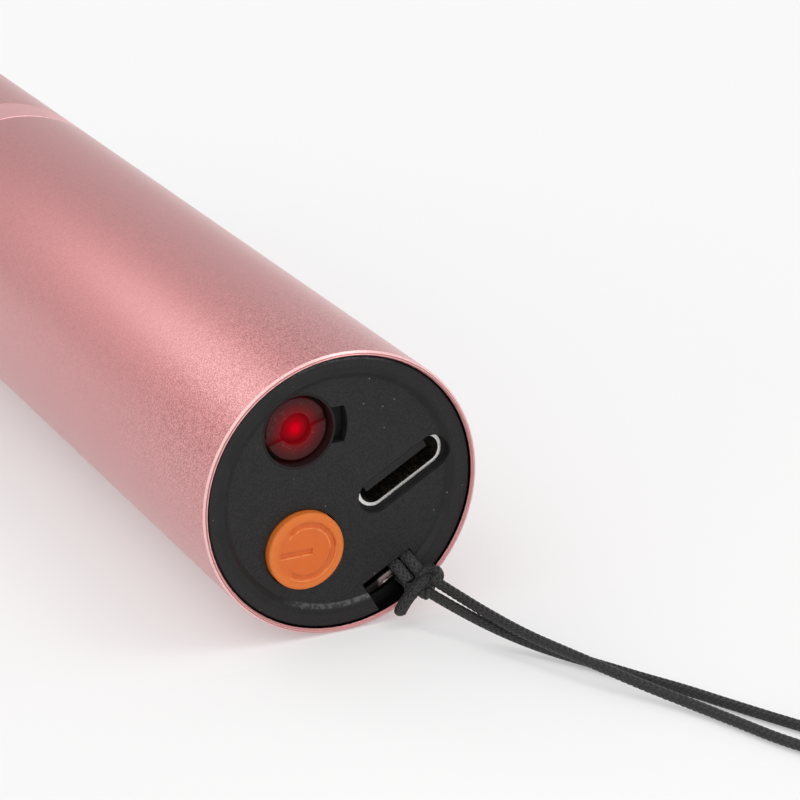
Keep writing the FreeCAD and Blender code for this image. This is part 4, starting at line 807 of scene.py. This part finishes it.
def orange_moulding():
    """Satin orange plastic with a faint grain, a yellower border, and painted highlights and shade along the
    mark.
    """
    paint = Paint("orange_moulding", ORANGE, Specular_IOR_Level=0.4)
    grain = paint.noise(size_mm=0.16, detail=3)
    cloud = paint.noise(size_mm=1.8)
    middle = from_inside(BUTTON_ACROSS, BUTTON_UP, 0) / MM
    line = (middle.x, middle.z)
    lit, shade = mark_lines(paint, line)
    ring = paint.times(paint.ramp(paint.from_line(line), *BUTTON_RING), paint.spread(grain, 0.55, 1.0))
    patchy = paint.spread(paint.noise(size_mm=0.6), 0.15, 0.5, half=0.15)
    colour = paint.mix(ring, paint.mottle(paint.both(grain, cloud, 0.5), strength=0.12), ORANGE_RING)
    # Painted shade and painted highlights along the mark's edges
    colour = paint.mix(paint.times(shade, patchy), colour, ORANGE_SHADE)
    colour = paint.mix(paint.times(lit, patchy), colour, ORANGE_LIT)
    paint.relief(grain, depth_mm=0.012)
    return paint.finish(colour, paint.spread(cloud, 0.45, 0.6, half=0.15))


# Laser: the light on each piece as millimetres from the lens and strength, and the colours under it
LASER_RED = (1.0, 0.0, 0.016)
LENS_GLOW = [(0.0, 0.62), (0.35, 0.58), (0.7, 0.33), (1.1, 0.19), (1.6, 0.12)]
LENS_MIDDLE = (0.03, 0.0002, 0.0004)
LENS_BORDER = (0.03, 0.005, 0.006)
LENS_FADE = (0.4, 1.4)
LENS_RIPPLE = 0.12
# Painted light: the ring and sleeve glow red near the lens, though they are no lamp
RING_GLOW = [(0.0, 0.3), (1.3, 0.19), (1.8, 0.12), (2.3, 0.06), (2.9, 0.02), (3.2, 0.009), (3.6, 0.0)]
RING_BLACK = (0.006, 0.0055, 0.0055)
RING_NEAR = (0.002, 0.002, 0.002)
RING_FAR = (0.011, 0.01, 0.0105)
RING_FADE = (1.4, 2.9)
RING_WORN = (0.03, 0.027, 0.027)
RING_WEAR = (0.62, 0.72)
BRASS = (0.72, 0.52, 0.24)
# Painted shade: the brass is painted black in front of this depth
BRASS_FRONT_SHADE = (0.01, 0.01, 0.01)
BRASS_SHADE_DEPTH = 3.3


def lens_front():
    """The point in front of the lens that the light of the laser spreads from."""
    low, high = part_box("laser_lens")
    centre = (Vector(low) + Vector(high)) / 2
    return Vector((centre.x, Vector(low).y, centre.z))


def black_anodised():
    """The laser's focus ring and sleeve: black anodised, turned, with bright wear in patches and a painted
    red glow from the lens.
    """
    paint = Paint("black_anodised", RING_BLACK, roughness=0.6, Specular_IOR_Level=0.2)
    grain = paint.noise(size_mm=0.1)
    wear = paint.ramp(paint.noise(size_mm=0.35, detail=3), *RING_WEAR)
    away = paint.distance(lens_front())
    # Painted light: a red glow on the ring, falling off from the lens
    paint.glow(away, RING_GLOW)
    paint.relief(grain, depth_mm=0.006)
    colour = paint.mix(wear, paint.mix(paint.ramp(away, *RING_FADE), RING_NEAR, RING_FAR), RING_WORN)
    return paint.finish(colour, paint.spread(grain, 0.5, 0.65))


def lit_lens():
    """A clear moulded lens lit red from behind, brightest at its middle."""
    paint = Paint("lit_lens", LENS_MIDDLE, roughness=0.32, Specular_IOR_Level=0.01)
    ripple = paint.noise(size_mm=0.5)
    away = paint.math("MULTIPLY_ADD", ripple, LENS_RIPPLE, paint.distance(lens_front()))
    paint.glow(away, LENS_GLOW)
    paint.relief(ripple, depth_mm=0.004)
    return paint.finish(paint.mix(paint.ramp(away, *LENS_FADE), LENS_MIDDLE, LENS_BORDER))


def laser_brass():
    """Turned brass, painted black at its front end as painted shade in the gap behind the ring."""
    paint = Paint("laser_brass", BRASS, metallic=1.0, roughness=0.3)
    marks = paint.noise(size_mm=0.12, detail=3, stretch=(0.05, 1, 0.05))
    # Painted shade over the front end of the brass
    front = paint.within(paint.depth(), BRASS_SHADE_DEPTH, soft=0.1)
    paint.relief(marks, depth_mm=0.004)
    colour = paint.mix(front, paint.mottle(marks, strength=0.1), BRASS_FRONT_SHADE)
    return paint.finish(colour, paint.spread(marks, 0.24, 0.38))


# Lanyard bar: its colours, the stretch where its painted shade ends, and the spot of its painted highlight
BAR_STEEL = (0.16, 0.12, 0.12)
BAR_SHADE = (0.012, 0.01, 0.01)
BAR_HIGHLIGHT = (0.8, 0.76, 0.74)
BAR_SHADE_END = (-1.55, -1.15)
BAR_HIGHLIGHT_SPOT = (-0.75, BAR_UP - 0.3, BAR_DEPTH - BAR_RADIUS + 0.1)
BAR_HIGHLIGHT_EDGES = (0.62, 0.4)
BAR_HIGHLIGHT_WAVE = 0.4


def dark_bar():
    """A steel bar, painted black on its left part as painted shade, with a painted highlight at one place."""
    paint = Paint("dark_bar", BAR_STEEL, metallic=1.0, roughness=0.28)
    marks = paint.noise(size_mm=0.15, detail=3, stretch=(0.2, 1, 1))
    # A painted highlight near the left end of the bar's steel part
    away = paint.math("MULTIPLY_ADD", marks, BAR_HIGHLIGHT_WAVE, paint.distance(from_inside(*BAR_HIGHLIGHT_SPOT)))
    ends = (from_inside(across, BAR_UP, 0).x / MM for across in BAR_SHADE_END)
    # Painted shade: the bar is painted black on its left part
    skin = paint.mix(paint.ramp(paint.axis("X"), *ends), BAR_SHADE, paint.mottle(marks, strength=0.3))
    paint.relief(marks, depth_mm=0.004)
    return paint.finish(paint.mix(paint.ramp(away, *BAR_HIGHLIGHT_EDGES), skin, BAR_HIGHLIGHT),
                        paint.spread(marks, 0.22, 0.36))


# Cord yarns. Their map counts one unit across a yarn and one for each millimetre along it
CORD_BLACK = (0.008, 0.0075, 0.008)
CORD_DARK = (0.004, 0.0038, 0.004)
CORD_LIT = (0.02, 0.018, 0.0185)
CORD_LIT_SPAN = (0.35, 0.7)
MAP_UNIT = 1 / MM


def cord_nylon():
    """Black nylon yarns: filaments along each yarn, with a soft sheen."""
    paint = Paint("cord_nylon", CORD_BLACK, roughness=0.55, Sheen_Weight=0.1, Sheen_Roughness=0.4)
    along = paint.add("ShaderNodeUVMap", uv_map="along").outputs["UV"]
    filaments = paint.noise(size_mm=MAP_UNIT, detail=3, stretch=(9, 0.7, 1), where=along)
    paint.relief(filaments, depth_mm=0.01)
    return paint.finish(paint.mix(paint.ramp(filaments, *CORD_LIT_SPAN), CORD_DARK, CORD_LIT),
                        paint.spread(paint.noise(size_mm=0.3, detail=3), 0.42, 0.62))


def metal(name, colour, roughness, grain_mm=0.2, stretch=(1, 1, 1)):
    """A small metal piece: drawn, stamped or turned, with fine marks."""
    paint = Paint(name, colour, metallic=1.0, roughness=roughness)
    marks = paint.noise(grain_mm, detail=3, stretch=stretch)
    paint.relief(marks, depth_mm=0.004)
    return paint.finish(paint.mottle(marks, strength=0.1),
                        paint.spread(marks, roughness * 0.8, roughness * 1.25))


def plastic(name, colour, roughness, grain_mm=0.25):
    """A small moulded, coated or rubber piece with a fine grain."""
    paint = Paint(name, colour, roughness=roughness)
    marks = paint.noise(grain_mm, detail=3)
    paint.relief(marks, depth_mm=0.006)
    return paint.finish(paint.mottle(marks, strength=0.12),
                        paint.spread(marks, roughness * 0.85, roughness * 1.1))


finishes = {
    "pink_anodised": blasted_rose(),
    "pink_polished": turned_rose(),
    "black_plastic": black_moulding(),
    "black_ring": black_anodised(),
    "lens_red": lit_lens(),
    "brass": laser_brass(),
    "spring_steel": metal("spring_steel", (0.66, 0.66, 0.68), 0.28, 0.15),
    "gold_can": metal("gold_can", (0.74, 0.56, 0.26), 0.22),
    "board_green": plastic("board_green", (0.02, 0.12, 0.05), 0.38, 0.5),
    "lead_red": plastic("lead_red", (0.42, 0.02, 0.02), 0.5),
    "orange_plastic": orange_moulding(),
    "switch_plastic": plastic("switch_plastic", (0.02, 0.02, 0.022), 0.5),
    "switch_steel": metal("switch_steel", (0.7, 0.7, 0.71), 0.3),
    "switch_button": plastic("switch_button", (0.72, 0.7, 0.62), 0.45),
    "port_steel": metal("port_steel", (0.78, 0.77, 0.75), 0.2, 0.12, (1, 0.06, 1)),
    "contact_gold": metal("contact_gold", (0.82, 0.62, 0.28), 0.25),
    "screw_steel": metal("screw_steel", (0.62, 0.62, 0.64), 0.32),
    "chip_black": plastic("chip_black", (0.018, 0.018, 0.02), 0.55, 0.15),
    "inductor_dark": plastic("inductor_dark", (0.05, 0.05, 0.055), 0.6, 0.12),
    "capacitor_tan": plastic("capacitor_tan", (0.36, 0.22, 0.11), 0.5),
    "contact_nickel": metal("contact_nickel", (0.74, 0.72, 0.68), 0.27),
    "cell_can": metal("cell_can", (0.66, 0.66, 0.66), 0.3, 0.2, (0.1, 1, 0.1)),
    "cell_wrap": plastic("cell_wrap", (0.02, 0.1, 0.34), 0.28, 1.5),
    "gasket_white": plastic("gasket_white", (0.74, 0.73, 0.68), 0.7),
    "spacer_white": plastic("spacer_white", (0.66, 0.66, 0.63), 0.5, 0.6),
    "seal_black": plastic("seal_black", (0.012, 0.012, 0.012), 0.45),
    "bar_steel": dark_bar(),
    "cord_black": cord_nylon(),
}
# The port's tongue is the same plastic as the plate, without the plate's painted shade, painted highlights
# and dust
tongue_black = plastic("tongue_black", (0.006, 0.006, 0.006), 0.6)


def dress():
    """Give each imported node, and each piece of cord, the finish of its slot."""
    slot_of = {row["node"]: row["material_slot"] for row in frame["record"]["subparts"]}
    for name, node in nodes.items():
        node.data.materials.clear()
        node.data.materials.append(tongue_black if name == "usb_tongue" else finishes[slot_of[name]])
    for piece in (cord, knot, cord_tail, hitch):
        piece.data.materials.clear()
        piece.data.materials.append(finishes["cord_black"])


dress()

# Floor and light, in millimetres and degrees
FLOOR_HALF = 3000.0
FLOOR_COLOUR = (0.875, 0.875, 0.875)
FLOOR_SHINE = 0.35
FLOOR_SHINE_COLOUR = (0.905, 0.905, 0.905)
LAMP_AZIMUTH = -26.0
LAMP_ELEVATION = 33.0
LAMP_REACH = 120.0
LAMP_ACROSS = 70.0
LAMP_SPREAD = 55.0
LAMP_POWER = 0.0025
LAMP_COLOUR = (1, 0.97, 0.95)
SKY_LEVEL = 0.56
# Soft patches of sky: azimuth, elevation, angle where each begins, angle where it is full, strength
SKY_PATCHES = (
    (0, 90, 73, 20, 0.17),
    (180, 50, 60, 0, 0.36),
    (131, 56, 16, 5, 3.0),
    (38, 24, 30, 0, 0.1),
    (-115, 22, 70, 0, 0.46),
    (180, 8, 45, 0, 0.11),
    (80, 15, 50, 0, 0.5),
    (-60, 30, 40, 0, 0.46),
    (-150, 30, 30, 0, 0.16),
)


def floor_white():
    """Matt white that gives a little light of its own where it is looked at or reflected."""
    paint = Paint("floor_white", FLOOR_COLOUR, roughness=0.9, Specular_IOR_Level=0.0)
    material = paint.finish(paint.mottle(paint.noise(size_mm=40), strength=0.004))
    shine = paint.add("ShaderNodeEmission")
    shine.inputs["Color"].default_value = (*FLOOR_SHINE_COLOUR, 1)
    path = paint.add("ShaderNodeLightPath")
    seen = paint.most(*(path.outputs["Is %s Ray" % kind] for kind in ("Camera", "Glossy", "Transmission")))
    blend = paint.add("ShaderNodeMixShader")
    paint.join(paint.times(seen, FLOOR_SHINE), blend.inputs["Fac"])
    paint.join(paint.shader.outputs[0], blend.inputs[1])
    paint.join(shine.outputs[0], blend.inputs[2])
    output = next(node for node in paint.tree.nodes if node.type == "OUTPUT_MATERIAL")
    paint.join(blend.outputs[0], output.inputs["Surface"])
    return material


def make_floor():
    """A pale table."""
    half = FLOOR_HALF * MM
    corners = [(-half, -half, 0), (half, -half, 0), (half, half, 0), (-half, half, 0)]
    mesh = bpy.data.meshes.new("floor")
    mesh.from_pydata(corners, [], [(0, 1, 2, 3)])
    mesh.materials.append(floor_white())
    floor = bpy.data.objects.new("floor", mesh)
    bpy.context.scene.collection.objects.link(floor)


def make_world():
    """Pale light from all round, brighter in the patches that are listed above."""
    world = bpy.data.worlds.new("studio")
    bpy.context.scene.world = world
    world.use_nodes = True
    world.node_tree.nodes.clear()
    sky = Nodes(world.node_tree)
    ray = sky.add("ShaderNodeTexCoord").outputs["Generated"]
    light = SKY_LEVEL
    for azimuth, elevation, begins, full, strength in SKY_PATCHES:
        near = sky.add("ShaderNodeVectorMath", operation="DOT_PRODUCT")
        sky.join(ray, near.inputs[0])
        near.inputs[1].default_value = towards(azimuth, elevation)
        ends = (math.cos(math.radians(angle)) for angle in (begins, full))
        light = sky.math("ADD", sky.ramp(near.outputs["Value"], *ends, 0.0, strength), light)
    lit = sky.add("ShaderNodeBackground")
    lit.inputs["Color"].default_value = (1, 1, 1, 1)
    sky.join(light, lit.inputs["Strength"])
    sky.join(lit.outputs[0], sky.add("ShaderNodeOutputWorld").inputs["Surface"])


def make_lamp():
    """A round soft lamp over the barrel's left side, whose reflection runs along the barrel."""
    data = bpy.data.lights.new("soft_lamp", "AREA")
    data.shape = "DISK"
    data.size = LAMP_ACROSS * MM
    data.energy = LAMP_POWER
    data.spread = math.radians(LAMP_SPREAD)
    data.color = LAMP_COLOUR
    aim = Vector((0, RIM_PLANE, TUBE_AXIS_HEIGHT * 2))
    back = towards(LAMP_AZIMUTH, LAMP_ELEVATION)
    put("soft_lamp", data, (aim + back * LAMP_REACH) * MM, back)


make_floor()
make_world()
make_lamp()
bpy.context.scene.view_settings.view_transform = "Standard"
